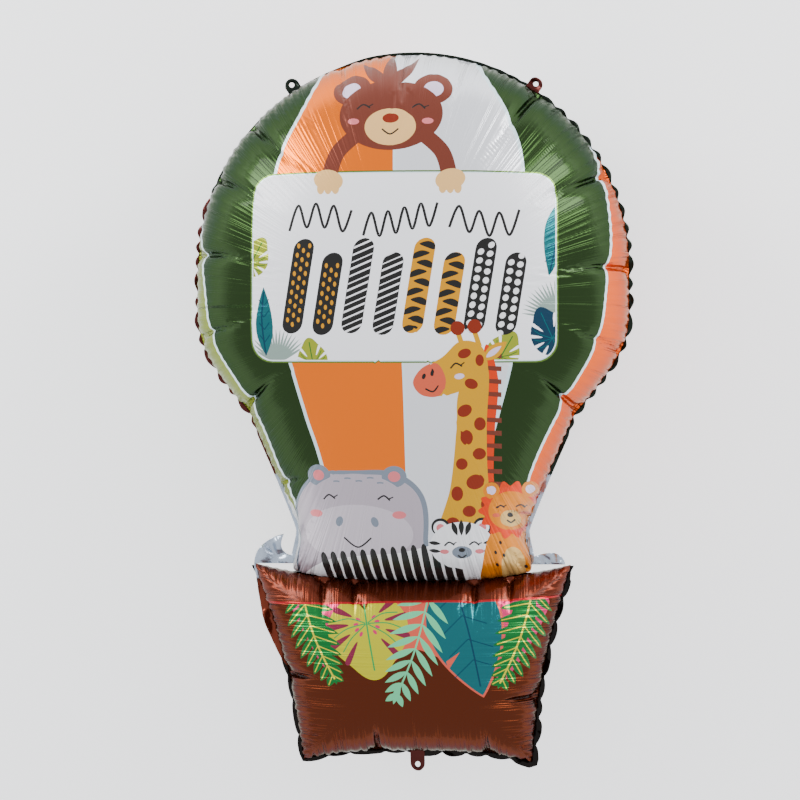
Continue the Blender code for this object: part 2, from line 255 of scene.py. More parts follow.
def basket_height(x, share):
    """The film's height over the weld, at x and this share of the way down."""
    rise = full_arch(2 * share - 1, BASKET_FULLNESS)
    pillow = BASKET_HALF_DEPTH * rise * full_arch(x / basket_half_width(share), BASKET_FULLNESS)
    channel = WAIST_HALF_DEPTH * full_arch(x / WAIST_HALF_WIDTH, CROWN_FULLNESS)
    return np.hypot(pillow, channel * (1 - smooth(share / CHANNEL_SHARE)))


def table_at(table, i, j):
    """A table's values at fractional row i and column j."""
    low_i = np.clip(np.floor(i).astype(int), 0, table.shape[0] - 2)
    low_j = np.clip(np.floor(j).astype(int), 0, table.shape[1] - 2)
    a, b = i - low_i, j - low_j
    if table.ndim == 3:
        a, b = a[..., None], b[..., None]
    return (
        table[low_i, low_j] * (1 - a) * (1 - b)
        + table[low_i + 1, low_j] * a * (1 - b)
        + table[low_i, low_j + 1] * (1 - a) * b
        + table[low_i + 1, low_j + 1] * a * b
    )


class EnvelopePanel:
    """The envelope's film: a square lattice mapped to a disc, and that to the outline."""

    columns = 190
    rows = 190
    rays = 720
    print_columns = 212
    print_rows = 212
    reach_in = 0.36
    cornered = False

    def __init__(self):
        y = weld_rows(600, 400)
        x = envelope_half_width(y)
        across = np.linspace(1, -1, 200)[1:-1] * WAIST_HALF_WIDTH
        ring_x = np.concatenate([x, across, -x[::-1]])
        ring_y = np.concatenate([y, np.full_like(across, WAIST_Y), y[::-1]]) - HUB_Y
        angle = np.arctan2(ring_y, ring_x)
        order = np.argsort(angle)
        self.angles = np.linspace(-math.pi, math.pi, self.rays + 1)
        reach = np.hypot(ring_x, ring_y)[order]
        self.reach = np.interp(self.angles, angle[order], reach, period=2 * math.pi)
        share = 1 - (1 - np.linspace(0, 1, 301)) ** 2
        px = np.cos(self.angles)[:, None] * self.reach[:, None] * share
        py = HUB_Y + np.sin(self.angles)[:, None] * self.reach[:, None] * share
        pz = envelope_height(px, py)
        steps = np.sqrt(np.diff(px) ** 2 + np.diff(py) ** 2 + np.diff(pz) ** 2)
        travel = np.concatenate([np.zeros((len(self.angles), 1)), np.cumsum(steps, 1)], 1)
        self.length = travel[:, -1]
        even = np.linspace(0, 1, 301)
        ratio = travel / self.length[:, None]
        self.planar_share = np.array([np.interp(even, r, share) for r in ratio])
        self.film_share = ratio

    def place(self, u, v, give):
        """Lattice coordinates to (blown-up place, flat place, share out to the weld)."""
        across, up = u * np.sqrt(1 - v * v / 2), v * np.sqrt(1 - u * u / 2)
        out, angle = np.hypot(across, up), np.arctan2(up, across)
        ray = (angle + math.pi) / (2 * math.pi) * self.rays
        planar = np.where(out > 1 - 1e-7, 1.0, table_at(self.planar_share, ray, out * 300))
        reach = np.interp(ray, np.arange(self.rays + 1), self.reach)
        length = np.interp(ray, np.arange(self.rays + 1), self.length)
        x, y = np.cos(angle) * reach * planar, HUB_Y + np.sin(angle) * reach * planar
        blown = np.stack([x, y + envelope_bow(x, y), envelope_height(x, y)], -1)
        cut = blend(reach, length, give) * out
        flat = np.stack([np.cos(angle) * cut, HUB_Y + np.sin(angle) * cut, 0 * x], -1)
        return blown, flat, out, angle * ENVELOPE_RADIUS

    def lattice_of(self, points):
        """Print places in metres to lattice coordinates."""
        x, y = points[:, 0], points[:, 1]
        for _ in range(3):
            y = points[:, 1] - envelope_bow(x, y)
        angle, planar = np.arctan2(y - HUB_Y, x), np.hypot(x, y - HUB_Y)
        ray = (angle + math.pi) / (2 * math.pi) * self.rays
        planar = planar / np.interp(ray, np.arange(self.rays + 1), self.reach)
        out = table_at(self.film_share, ray, (1 - np.sqrt(np.clip(1 - planar, 0, 1))) * 300)
        out = np.where(planar >= 1, 1.0, out)
        a, b = out * np.cos(angle), out * np.sin(angle)
        root = 2 * math.sqrt(2)
        base = 2 + a * a - b * b
        u = np.sqrt(np.maximum(0, base + root * a)) - np.sqrt(np.maximum(0, base - root * a))
        base = 2 - a * a + b * b
        v = np.sqrt(np.maximum(0, base + root * b)) - np.sqrt(np.maximum(0, base - root * b))
        return np.stack([u / 2, v / 2], -1)

    def creases(self):
        """Each deep crease as (start, heading, length, depth)."""
        found = []
        for degrees, length, depth in ENVELOPE_CREASES:
            out = unit(degrees)
            y = CENTRE_Y + out[1] * ENVELOPE_RADIUS
            start = np.array([math.copysign(float(envelope_half_width(y)), out[0]), y])
            found.append((start, -out, length, depth))
        for side, above, length, depth in NECK_CREASES:
            start = np.array([side * float(envelope_half_width(WAIST_Y + above)), WAIST_Y + above])
            found.append((start, np.array([-side, 0.25]) / math.hypot(1, 0.25), length, depth))
        return found


class BasketPanel:
    """The basket's film: a square lattice mapped straight to the four-sided outline."""

    columns = 120
    rows = 84
    print_columns = 140
    print_rows = 84
    reach_in = 0.14
    cornered = True

    def place(self, u, v, give):
        """Lattice coordinates to (blown-up place, flat place, share out to the weld)."""
        across, down = self.ease(u), (1 - self.ease(v)) / 2
        x = across * basket_half_width(down)
        y = WAIST_Y - BASKET_HEIGHT * down + basket_bow(down) * np.abs(across) ** BOW_POWER
        blown = np.stack([x, y, basket_height(x, down)], -1)
        shares = self.ease(np.linspace(0, 1, 201))
        shares, downs = np.meshgrid(shares, np.linspace(0, 1, 101), indexing="ij")
        px = shares * basket_half_width(downs)
        steps = np.hypot(np.diff(px, axis=0), np.diff(basket_height(px, downs), axis=0))
        travel = np.concatenate([np.zeros((1, 101)), np.cumsum(steps, 0)], 0)
        cut_x = np.sign(u) * table_at(travel, np.abs(u) * 200, down * 100)
        middle = (1 - self.ease(np.linspace(-1, 1, 401))) / 2
        steps = np.hypot(BASKET_HEIGHT * np.diff(middle), np.diff(basket_height(0 * middle, middle)))
        travel = np.concatenate([[0], np.cumsum(steps)])
        cut_y = np.interp(v, np.linspace(-1, 1, 401), travel - travel[-1] / 2)
        cut_y += WAIST_Y - BASKET_HEIGHT / 2
        flat = np.stack([blend(x, cut_x, give), blend(y, cut_y, give), 0 * x], -1)
        along = np.where(np.abs(u) > np.abs(v), y, x)
        return blown, flat, np.maximum(np.abs(u), np.abs(v)), along

    def lattice_of(self, points):
        """Print places in metres to lattice coordinates."""
        x, y = points[:, 0], points[:, 1]
        down = (WAIST_Y - y) / BASKET_HEIGHT
        for _ in range(12):
            across = np.clip(x / basket_half_width(np.clip(down, 0, 1)), -1, 1)
            bow = basket_bow(np.clip(down, 0, 1)) * np.abs(across) ** BOW_POWER
            down = np.clip((WAIST_Y + bow - y) / BASKET_HEIGHT, 0, 1)
        return np.stack([self.unease(across), self.unease(1 - 2 * down)], -1)

    @staticmethod
    def ease(t):
        """Even steps made closer towards both ends."""
        return np.copysign(1 - (1 - np.abs(t)) ** 1.45, t)

    @staticmethod
    def unease(t):
        """The reverse of ease."""
        return np.copysign(1 - (1 - np.abs(t)) ** (1 / 1.45), t)

    def creases(self):
        """Each deep crease as (start, heading, length, depth)."""
        found = []
        for edge, share, length, depth in BASKET_CREASES:
            if edge in ("top", "bottom"):
                down = 0.0 if edge == "top" else 1.0
                bow = basket_bow(down) * abs(share) ** BOW_POWER
                start = (share * basket_half_width(down), WAIST_Y - BASKET_HEIGHT * down + bow)
                found.append((np.array(start), np.array([0, 2 * down - 1]), length, depth))
            else:
                side = -1 if edge == "left" else 1
                y = WAIST_Y - BASKET_HEIGHT * share + basket_bow(share)
                start = np.array([side * float(basket_half_width(share)), y])
                found.append((start, np.array([-side, 0]), length, depth))
        return found


def vertex_rows(data, name="co"):
    """Each vertex's place, or its normal, as a row."""
    values = np.empty(len(data.vertices) * 3)
    data.vertices.foreach_get(name, values)
    return values.reshape(-1, 3)


def lattice_mesh(name, panel):
    """A grid mesh, and each vertex's column and row."""
    mesh = bmesh.new()
    bmesh.ops.create_grid(mesh, x_segments=panel.columns - 1, y_segments=panel.rows - 1, size=1)
    data = bpy.data.meshes.new(name)
    mesh.to_mesh(data)
    mesh.free()
    places = vertex_rows(data)
    column = np.rint((places[:, 0] + 1) / 2 * (panel.columns - 1)).astype(int)
    row = np.rint((places[:, 1] + 1) / 2 * (panel.rows - 1)).astype(int)
    return data, column, row


def seeded(panel, blown, out, along, normals, settings):
    """The blown-up places, drawn in at the deep creases and rippled along the weld."""
    rng = np.random.default_rng(settings.seed)
    drift = np.interp(along, np.linspace(-1, 1, 160), np.cumsum(rng.normal(0, 0.5, 160)))
    fade = np.clip((out - 0.6) / 0.35, 0, 1) ** 2
    ripple = settings.ripple_depth * fade * np.sin(2 * math.pi * along / settings.ripple_length + drift)
    dip = np.zeros(len(blown))
    for start, heading, length, depth in panel.creases():
        offset = blown[:, :2] - start
        inward = offset @ heading
        across = (offset[:, 0] * heading[1] - offset[:, 1] * heading[0]) / CREASE_HALF_WIDTH
        dip += 0.7 * depth * (1 - smooth(inward / length)) * np.exp(-(across**2)) * (inward > -0.02)
    dip *= 1 - 0.6 * smooth((out - 0.975) / 0.025)
    moved = blown + normals * (ripple - dip)[:, None]
    edge = out > 1 - 1e-6
    moved[edge] = blown[edge]
    return moved, edge


def blow_up(panel, settings):
    """Lattice tables of the blown-up film's places and normals."""
    data, column, row = lattice_mesh("film lattice", panel)
    u, v = column / (panel.columns - 1) * 2 - 1, row / (panel.rows - 1) * 2 - 1
    blown, flat, out, along = panel.place(u, v, settings.slack)
    data.vertices.foreach_set("co", blown.ravel())
    data.update()
    normals = vertex_rows(data, "normal")
    if normals[len(normals) // 2, 2] < 0:
        data.flip_normals()
        normals = -normals
    start, edge = seeded(panel, blown, out, along, normals, settings)
    data.vertices.foreach_set("co", start.ravel())
    film = bpy.data.objects.new("film lattice", data)
    bpy.context.scene.collection.objects.link(film)
    start = relaxed(film, start, flat, edge, settings)
    bpy.data.objects.remove(film)
    bpy.data.meshes.remove(data)
    places = np.zeros((panel.columns, panel.rows, 3))
    places[column, row] = start
    places = np.tensordot(finer(panel.columns), places, (1, 0))
    places = np.tensordot(places, finer(panel.rows), (1, 1)).transpose(0, 2, 1)
    normals = lattice_normals(places)
    places += normals * fine_relief(panel, places, settings)[..., None]
    return places, lattice_normals(places)


def finer(count):
    """Weights of a smooth cubic between this many values, REFINEMENT times as many."""
    at = np.linspace(0, count - 1, (count - 1) * REFINEMENT + 1)
    low = np.minimum(np.floor(at).astype(int), count - 2)
    t = at - low
    shares = (-t + 2 * t**2 - t**3, 2 - 5 * t**2 + 3 * t**3, t + 4 * t**2 - 3 * t**3, t**3 - t**2)
    weights = np.zeros((len(at), count))
    for offset, share in enumerate(shares):
        np.add.at(weights, (np.arange(len(at)), np.clip(low + offset - 1, 0, count - 1)), share / 2)
    return weights


def pleat_coordinates(panel, u, v):
    """Distance along the weld, film distance in from it, and how far pleats keep their depth."""
    _, _, out, along = panel.place(u, v, 0)
    depth = 1.0
    if panel.cornered:
        depth = smooth(np.abs(np.abs(u) - np.abs(v)) / 0.12) * (1 - 0.75 * smooth((v - np.abs(u)) / 0.12))
    return along, (1 - out) * panel.reach_in, depth


def fine_relief(panel, places, settings):
    """Height of the pleats along the weld and of the sharp tucks, over the settled film."""
    columns, rows = places.shape[:2]
    u, v = np.meshgrid(np.linspace(-1, 1, columns), np.linspace(-1, 1, rows), indexing="ij")
    along, gap, corner = pleat_coordinates(panel, u, v)
    rng = np.random.default_rng(settings.seed + 1)
    marks = np.linspace(-1, 1, 400)
    drift = np.interp(along, marks, np.cumsum(rng.normal(0, 0.22, 400)))
    run = np.interp(along, marks, rng.uniform(0.25, 1.0, 400)) * settings.pleat_run
    strong = np.interp(along, marks, rng.uniform(0.35, 1.0, 400)) * corner
    phase = along / settings.pleat_length + drift
    profile = 0.62 - np.abs(np.sin(math.pi * phase)) ** 0.8
    relief = -settings.pleat_depth * strong * profile * np.exp(-gap / run) * smooth(gap / 0.006)
    for start, heading, length, depth in panel.creases():
        offset = places[..., :2] - start
        inward = offset @ heading
        across = np.abs(offset[..., 0] * heading[1] - offset[..., 1] * heading[0])
        narrowing = TUCK_HALF_WIDTH * (1.15 - 0.6 * np.clip(inward / length, 0, 1))
        fade = (1 - smooth(inward / length)) * smooth((inward - 0.001) / 0.012)
        lip = (across - TUCK_LIP_ASIDE) / TUCK_LIP_HALF_WIDTH
        tuck = np.exp(-((across / narrowing) ** 2)) - 0.4 * np.exp(-(lip**2))
        relief -= 0.36 * depth * fade * tuck
    return relief


def tuck_spots(panel):
    """Extra print places, in metres, closely across each sharp tuck."""
    offsets = np.array([-5.5, -4, -2.8, -1.9, -1.1, -0.4, 0.4, 1.1, 1.9, 2.8, 4, 5.5]) * MM
    found = []
    for start, heading, length, _ in panel.creases():
        side = np.array([-heading[1], heading[0]])
        for inward in np.arange(0.002, length, 0.0017):
            found.append(start + heading * inward + side * offsets[:, None])
    return np.concatenate(found)


def relaxed(film, start, flat, edge, settings):
    """The film after the cloth solver has let pressure and its flat cut settle it."""
    film.shape_key_add(name="Basis")
    cut = film.shape_key_add(name="flat cut")
    film.data.shape_keys.key_blocks["Basis"].data.foreach_set("co", start.ravel())
    cut.data.foreach_set("co", flat.ravel())
    weld = film.vertex_groups.new(name="weld")
    weld.add([int(index) for index in np.nonzero(edge)[0]], 1.0, "REPLACE")
    cloth = film.modifiers.new("foil", "CLOTH")
    foil = cloth.settings
    foil.rest_shape_key = cut
    foil.vertex_group_mass = "weld"
    foil.pin_stiffness = 50
    foil.quality = 5
    foil.mass = 0.002
    foil.tension_stiffness = foil.compression_stiffness = 20
    foil.shear_stiffness = 6.6
    foil.bending_stiffness = 0.01
    foil.use_pressure = True
    foil.uniform_pressure_force = settings.pressure
    foil.effector_weights.gravity = 0
    cloth.collision_settings.use_collision = False
    cloth.collision_settings.use_self_collision = False
    cloth.point_cache.frame_start = 1
    cloth.point_cache.frame_end = settings.frames
    scene = bpy.context.scene
    for number in range(1, settings.frames + 1):
        scene.frame_set(number)
    settled = film.evaluated_get(bpy.context.evaluated_depsgraph_get()).data
    places = vertex_rows(settled)
    scene.frame_set(1)
    return places


def lattice_normals(places):
    """Unit normals of a lattice table of places."""
    across, along = np.gradient(places, axis=0), np.gradient(places, axis=1)
    normals = np.cross(across, along)
    return normals / np.maximum(1e-12, np.linalg.norm(normals, axis=-1, keepdims=True))


def curve_points(points, closed=True, step=3.0):
    """A smooth outline through these points, in mm, with a point at least every step."""
    points = [np.array(p, float) for p in points]
    count = len(points)
    made = []
    for index in range(count if closed else count - 1):
        before = points[index - 1] if closed or index else points[0]
        a, b = points[index], points[(index + 1) % count]
        after = points[(index + 2) % count] if closed or index + 2 < count else b
        handles = (a, a + (b - before) / 6, b - (after - a) / 6, b)
        pieces = max(2, int(np.linalg.norm(b - a) / step) + 1)
        stretch = interpolate_bezier(*[(h[0], h[1], 0) for h in handles], pieces + 1)
        made += [(p[0], p[1]) for p in stretch[:-1]]
    if not closed:
        made.append(tuple(points[-1]))
    return np.array(made)


def straight_points(points, step=3.0, closed=True):
    """A straight-sided outline, with a point at least every step."""
    made = []
    for a, b in zip(points, list(points[1:]) + [points[0]] * closed):
        a, b = np.array(a, float), np.array(b, float)
        pieces = max(1, int(np.linalg.norm(b - a) / step) + 1)
        made += [tuple(blend(a, b, k / pieces)) for k in range(pieces)]
    return np.array(made)


def oval(x, y, half_x, half_y, turn=0.0, step=2.5):
    """An ellipse, turned by degrees."""
    count = max(10, int(2 * math.pi * max(half_x, half_y) / step))
    angle = np.linspace(0, 2 * math.pi, count, endpoint=False)
    return turned(np.stack([half_x * np.cos(angle), half_y * np.sin(angle)], -1), turn) + (x, y)


def turned(points, degrees):
    """Points turned round the origin."""
    c, s = math.cos(math.radians(degrees)), math.sin(math.radians(degrees))
    return np.asarray(points, float) @ np.array([[c, s], [-s, c]])


def stroke(points, width, closed=False, ends=1.0, step=2.5):
    """A band along a smooth line; ends is how wide its ends are against its middle."""
    line = curve_points(points, closed, step)
    heading = np.gradient(line, axis=0)
    if closed:
        heading = np.roll(line, -1, 0) - np.roll(line, 1, 0)
    heading /= np.maximum(1e-9, np.linalg.norm(heading, axis=1, keepdims=True))
    share = np.linspace(-1, 1, len(line))[:, None]
    half = width / 2 * (ends + (1 - ends) * np.sqrt(np.maximum(0, 1 - share**2)))
    side = np.stack([-heading[:, 1], heading[:, 0]], -1) * half
    return np.concatenate([line + side, (line - side)[::-1]])


def rounded_box(left, bottom, right, top, radius, step=3.0):
    """A box's outline with round corners."""
    corners = ((right, top, 0), (left, top, 90), (left, bottom, 180), (right, bottom, 270))
    made = []
    for x, y, start in corners:
        cx = x - math.copysign(radius, x - (left + right) / 2)
        cy = y - math.copysign(radius, y - (bottom + top) / 2)
        for angle in np.linspace(start, start + 90, 7):
            turn = math.radians(angle)
            made.append((cx + radius * math.cos(turn), cy + radius * math.sin(turn)))
    return straight_points(made, step)


def inside(points, outline):
    """Which points the outline goes round."""
    found = np.zeros(len(points), bool)
    low, high = outline.min(0), outline.max(0)
    near = np.nonzero(((points >= low) & (points <= high)).all(1))[0]
    if not len(near):
        return found
    x, y = points[near, 0][:, None], points[near, 1][:, None]
    ax, ay = outline[:, 0], outline[:, 1]
    bx, by = np.roll(ax, -1), np.roll(ay, -1)
    rise = np.where(by == ay, 1e-12, by - ay)
    crosses = ((ay > y) != (by > y)) & (x < (bx - ax) * (y - ay) / rise + ax)
    found[near] = crosses.sum(1) % 2 == 1
    return found


def cut_mesh(spots, outlines):
    """Triangles over the spots, cut along the outlines, and each triangle's top outline."""
    points = [Vector(spot) for spot in spots]
    edges = []
    for outline in outlines:
        first = len(points)
        points += [Vector(spot) for spot in outline]
        count = len(outline)
        edges += [(first + k, first + (k + 1) % count) for k in range(count)]
    made = delaunay_2d_cdt(points, edges, [], 0, 1e-7)
    places = np.array([tuple(p) for p in made[0]])
    faces = np.array([tuple(f) for f in made[2]])
    middles = places[faces].mean(1)
    top = np.full(len(faces), -1)
    for index, outline in enumerate(outlines):
        top[inside(middles, np.asarray(outline))] = index
    return places, faces, top


def store_pleats(data, values):
    """Keeps the pleat coordinates on the vertices, for the material's finest pleats."""
    pleats = data.attributes.new("pleats", "FLOAT_VECTOR", "POINT")
    pleats.data.foreach_set("vector", np.ascontiguousarray(values, np.float32).ravel())


def edge_crowded(t):
    """Even steps made closer towards both ends, where the pleats are."""
    return np.copysign(1 - (1 - np.abs(t)) ** 1.2, t)


def dress(data, inks):
    """Stores each face's ink as a colour and a sheen, which the foil material reads."""
    shades = np.array([linear(INKS[ink][0])[:3] + [INKS[ink][1]] for ink in inks], np.float32)
    tint = data.attributes.new("ink", "FLOAT_COLOR", "CORNER")
    sheen = data.attributes.new("sheen", "FLOAT", "FACE")
    colours = np.repeat(shades, 3, 0)
    sheen.data.foreach_set("value", colours[::3, 3].copy())
    colours[:, 3] = 1
    tint.data.foreach_set("color", colours.ravel())


def printed_film(name, panel, film, layers, base, back=False):
    """A panel's mesh, cut along its print. Layers are (ink, outline in mm), top ones last."""
    places, normals = film
    columns, rows = places.shape[:2]
    sides = [edge_crowded(np.linspace(-1, 1, n)) for n in (panel.print_columns, panel.print_rows)]
    u, v = np.meshgrid(*sides, indexing="ij")
    spots = np.stack([u.ravel(), v.ravel()], -1)
    extra = panel.lattice_of(tuck_spots(panel))
    spots = np.concatenate([spots, extra[(np.abs(extra) < 0.999).all(1)]])
    outlines = [np.clip(panel.lattice_of(outline * MM), -1, 1) for _, outline in layers]
    flat, faces, top = cut_mesh(spots, outlines)
    where = (flat + 1) / 2 * (columns - 1, rows - 1)
    shape = table_at(places, where[:, 0], where[:, 1])
    facing = table_at(normals, where[:, 0], where[:, 1])
    facing /= np.linalg.norm(facing, axis=1, keepdims=True)
    shape[:, 2] += WELD_Z
    if back:
        shape[:, 2] = np.maximum(0, 2 * WELD_Z - shape[:, 2])
        facing[:, 2] *= -1
        facing[shape[:, 2] < 0.0005] = (0, 0, -1)
        faces = faces[:, ::-1]
    data = bpy.data.meshes.new(name)
    data.from_pydata(shape.tolist(), [], faces.tolist())
    dress(data, [layers[k][0] if k >= 0 else base for k in top])
    pleats = pleat_coordinates(panel, flat[:, 0], flat[:, 1])
    store_pleats(data, np.stack(np.broadcast_arrays(*pleats), -1))
    data.shade_smooth()
    data.normals_split_custom_set_from_vertices(facing.tolist())
    return data


def joined(name, parts):
    """One object made of these meshes."""
    objects = []
    for data in parts:
        piece = bpy.data.objects.new(name, data)
        bpy.context.scene.collection.objects.link(piece)
        objects.append(piece)
    with bpy.context.temp_override(active_object=objects[0], selected_editable_objects=objects):
        bpy.ops.object.join()
    return objects[0]


def scalloped(line, length, pinch, fullness):
    """The margin's outer edge along this weld line, to its left."""
    steps = np.linalg.norm(np.diff(line, axis=0), axis=1)
    travel = np.concatenate([[0], np.cumsum(steps)])
    marks = np.arange(0, travel[-1], length / 12)
    points = np.stack([np.interp(marks, travel, line[:, k]) for k in (0, 1)], -1)
    heading = np.gradient(points, axis=0)
    heading /= np.linalg.norm(heading, axis=1, keepdims=True)
    outward = np.stack([-heading[:, 1], heading[:, 0]], -1)
    scallops = np.arange(int(travel[-1] / length) + 2)
    uneven = np.random.default_rng(len(scallops)).uniform(-0.3, 0.3, len(scallops))
    phase = marks / length + np.interp(marks / length, scallops, uneven)
    wave = np.abs(np.sin(math.pi * phase)) ** fullness
    reach = MARGIN_WIDTH * (0.85 + 0.5 * uneven[np.clip(phase.astype(int), 0, len(scallops) - 1)])
    reach *= np.where((points[:, 1] < WAIST_Y) & (points[:, 0] > 0), MARGIN_RIGHT_OF_BASKET, 1.0)
    width = blend(pinch, reach, wave)
    crown = smooth((points[:, 1] - CENTRE_Y) / ENVELOPE_RADIUS / 0.4 - 1.5)
    width = blend(width, MARGIN_CROWN_WIDTH, crown)
    angle = np.degrees(np.arctan2(points[:, 1] - CENTRE_Y, points[:, 0]))
    first, last = TURNED_UNDER_DEGREES
    turned_under = smooth((angle - first) / 12) * smooth((last - angle) / 14)
    width = blend(width, TURNED_UNDER_WIDTH, turned_under)
    if length == SCALLOP_LENGTH:
        neck = smooth((SHOULDER_Y - points[:, 1]) / 0.03) * smooth((points[:, 1] - WAIST_Y) / 0.02)
        width = blend(width, NECK_MARGIN_WIDTH, neck)
    return points + outward * width[:, None]


def envelope_weld():
    """The weld from the crown down the envelope's right side to the waist."""
    y = weld_rows(260, 120)
    x = envelope_half_width(y)
    return np.stack([x, y + envelope_bow(x, y)], -1)


def basket_weld():
    """The weld down the basket's right side and in under it to the middle."""
    share = np.linspace(0, 1, 120)
    side = np.stack([basket_half_width(share), WAIST_Y - BASKET_HEIGHT * share + basket_bow(share)], -1)
    x = BASKET_BOTTOM_HALF_WIDTH * np.linspace(1, 0, 60)[1:]
    bow = basket_bow(1.0) * (x / BASKET_BOTTOM_HALF_WIDTH) ** BOW_POWER
    return np.concatenate([side, np.stack([x, BOTTOM_Y + bow], -1)])


def side_fold():
    """The margin's wide fold behind the basket's upper left side."""
    share = np.linspace(*SIDE_FOLD_SHARES, 30)
    bulge = SIDE_FOLD_WIDTH * np.sin(math.pi * np.linspace(0, 1, 30)) ** 0.7
    y = WAIST_Y - BASKET_HEIGHT * share + basket_bow(share)
    outer = np.stack([-basket_half_width(share) - bulge, y], -1)
    return np.concatenate([outer, (outer + (0.012, 0))[::-1]])


def both_sides(line):
    """A line from the middle down the right side, closed by its mirror image."""
    return np.concatenate([line, (line * (-1, 1))[::-1]])


def waist_curve(points, pieces):
    """A Bezier stretch through places given from the waist's height."""
    knots = [(x, WAIST_Y + y, 0) for x, y in points]
    return [tuple(point)[:2] for point in interpolate_bezier(*knots, pieces)]


def waist_horn():
    """The left flap: up the outside to its tip, and down round the notch beside the neck."""
    top = BASKET_TOP_HALF_WIDTH
    tip = (-0.162, 0.055)
    outer = waist_curve([(0.006 - top, -0.008), (-top - 0.018, 0.033), (-0.179, 0.052), tip], 22)
    inner = waist_curve([tip, (-0.173, 0.030), (-0.153, 0.022), (-0.137, 0.034)], 16)
    return np.array(outer + inner[1:] + [(-0.121, WAIST_Y + 0.004)])


def waist_lobe():
    """The right flap, a low rounded lobe over the basket's corner."""
    over = waist_curve([(0.137, 0.022), (0.161, 0.032), (0.200, 0.048), (0.190, -0.004)], 22)
    return np.array(over + [(0.121, WAIST_Y + 0.004)])


def tab(degrees, base, length):
    """A round-ended tab's outline and its eyelet's."""
    end = length - TAB_WIDTH / 2
    angle = np.radians(np.linspace(-90, 90, 15))
    cap = np.stack([end + TAB_WIDTH / 2 * np.cos(angle), TAB_WIDTH / 2 * np.sin(angle)], -1)
    body = np.concatenate([[(-0.010, TAB_WIDTH / 2), (-0.010, -TAB_WIDTH / 2)], cap])
    angle = np.radians(np.linspace(0, 360, 28, endpoint=False))
    hole = np.stack([np.cos(angle), np.sin(angle)], -1) * EYELET_DIAMETER / 2
    hole += (length - EYELET_FROM_END, 0)
    return turned(body, degrees) + base, turned(hole, degrees) + base


def eyelet_tabs():
    """The two tabs on the shoulders and the one under the basket: (outline, eyelet, ink)."""
    made = []
    for degrees, ink in zip(SHOULDER_TAB_ANGLES, ("dark edge", "maroon edge")):
        base = np.array([0, CENTRE_Y]) + unit(degrees) * ENVELOPE_RADIUS
        made.append((*tab(degrees, base, SHOULDER_TAB_LENGTH), ink))
    made.append((*tab(-90, np.array([0, BOTTOM_Y]), TAB_LENGTH), "maroon edge"))
    return made


def weld_margin(name):
    """The welded foil outside the film: scalloped edge, flaps and tabs, a little wavy."""
    envelope, basket = both_sides(envelope_weld()), both_sides(basket_weld())
    plates = [
        (scalloped(envelope, SCALLOP_LENGTH, 0.0006, 1.3), "dark edge"),
        (scalloped(basket, BASKET_SCALLOP_LENGTH, 0.0022, 0.6), "black edge"),
        (waist_horn(), "back silver"), (waist_lobe(), "back silver"), (side_fold(), "fold brown"),
    ]
    tabs = eyelet_tabs()
    plates += [(outline, ink) for outline, _, ink in tabs]
    holes = [hole for _, hole, _ in tabs]
    welds = [envelope, basket]
    spots = near_spots([outline for outline, _ in plates], welds, 0.0022)
    outlines = [outline for outline, _ in plates] + welds + holes
    flat, faces, _ = cut_mesh(spots, outlines)
    middles = flat[faces].mean(1)
    ink = np.full(len(faces), "", dtype=object)
    for outline, colour in plates:
        ink[inside(middles, outline)] = colour
    left = (ink == "dark edge") & (middles[:, 0] < 0) & (middles[:, 1] < MAROON_BELOW_Y)
    ink[left] = "maroon edge"
    neck = (ink != "black edge") & (middles[:, 1] < SILVER_BELOW_Y) & (middles[:, 1] > WAIST_Y)
    ink[neck & (ink != "")] = "back silver"
    for outline in welds + holes:
        ink[inside(middles, outline)] = ""
    kept = ink != ""
    data = bpy.data.meshes.new(name)
    height = WELD_Z + flap_waves(flat, np.concatenate(welds))
    data.from_pydata(np.column_stack([flat, height]).tolist(), [], faces[kept].tolist())
    dress(data, ink[kept])
    store_pleats(data, np.column_stack([flat, np.zeros(len(flat))]))
    mesh = bmesh.new()
    mesh.from_mesh(data)
    bmesh.ops.delete(mesh, geom=[v for v in mesh.verts if not v.link_faces], context="VERTS")
    mesh.to_mesh(data)
    mesh.free()
    data.shade_smooth()
    piece = joined(name, [data])
    skin = piece.modifiers.new("foil thickness", "SOLIDIFY")
    skin.thickness = FOIL_THICKNESS
    skin.offset = 0
    return piece


def near_spots(outlines, welds, spacing):
    """A lattice over the outlines, without what lies well inside the welds."""
    low = np.min([outline.min(0) for outline in outlines], 0)
    high = np.max([outline.max(0) for outline in outlines], 0)
    x, y = np.meshgrid(*[np.arange(low[k], high[k], spacing) for k in (0, 1)], indexing="ij")
    spots = np.stack([x.ravel(), y.ravel()], -1)
    wanted = np.any([inside(spots, outline) for outline in outlines], 0)
    for weld in welds:
        wanted &= ~inside(spots, weld)
    return spots[wanted]


def flap_waves(points, weld):
    """How far the loose foil stands off the weld's plane: waves, and crumpling on the flaps."""
    height = np.zeros(len(points))
    for index, point in enumerate(points):
        gap = weld - point
        away = math.sqrt((gap * gap).sum(1).min())
        spot = Vector((point[0], point[1], 0))
        wave = MARGIN_WAVE * noise.noise(spot * 45) * min(1, away / 0.006)
        crumple = FLAP_CRUMPLE * noise.turbulence(spot * 34, 3, True) - FLAP_SINK
        height[index] = wave + crumple * min(1, max(0, away - 0.002) / 0.008)
    return height


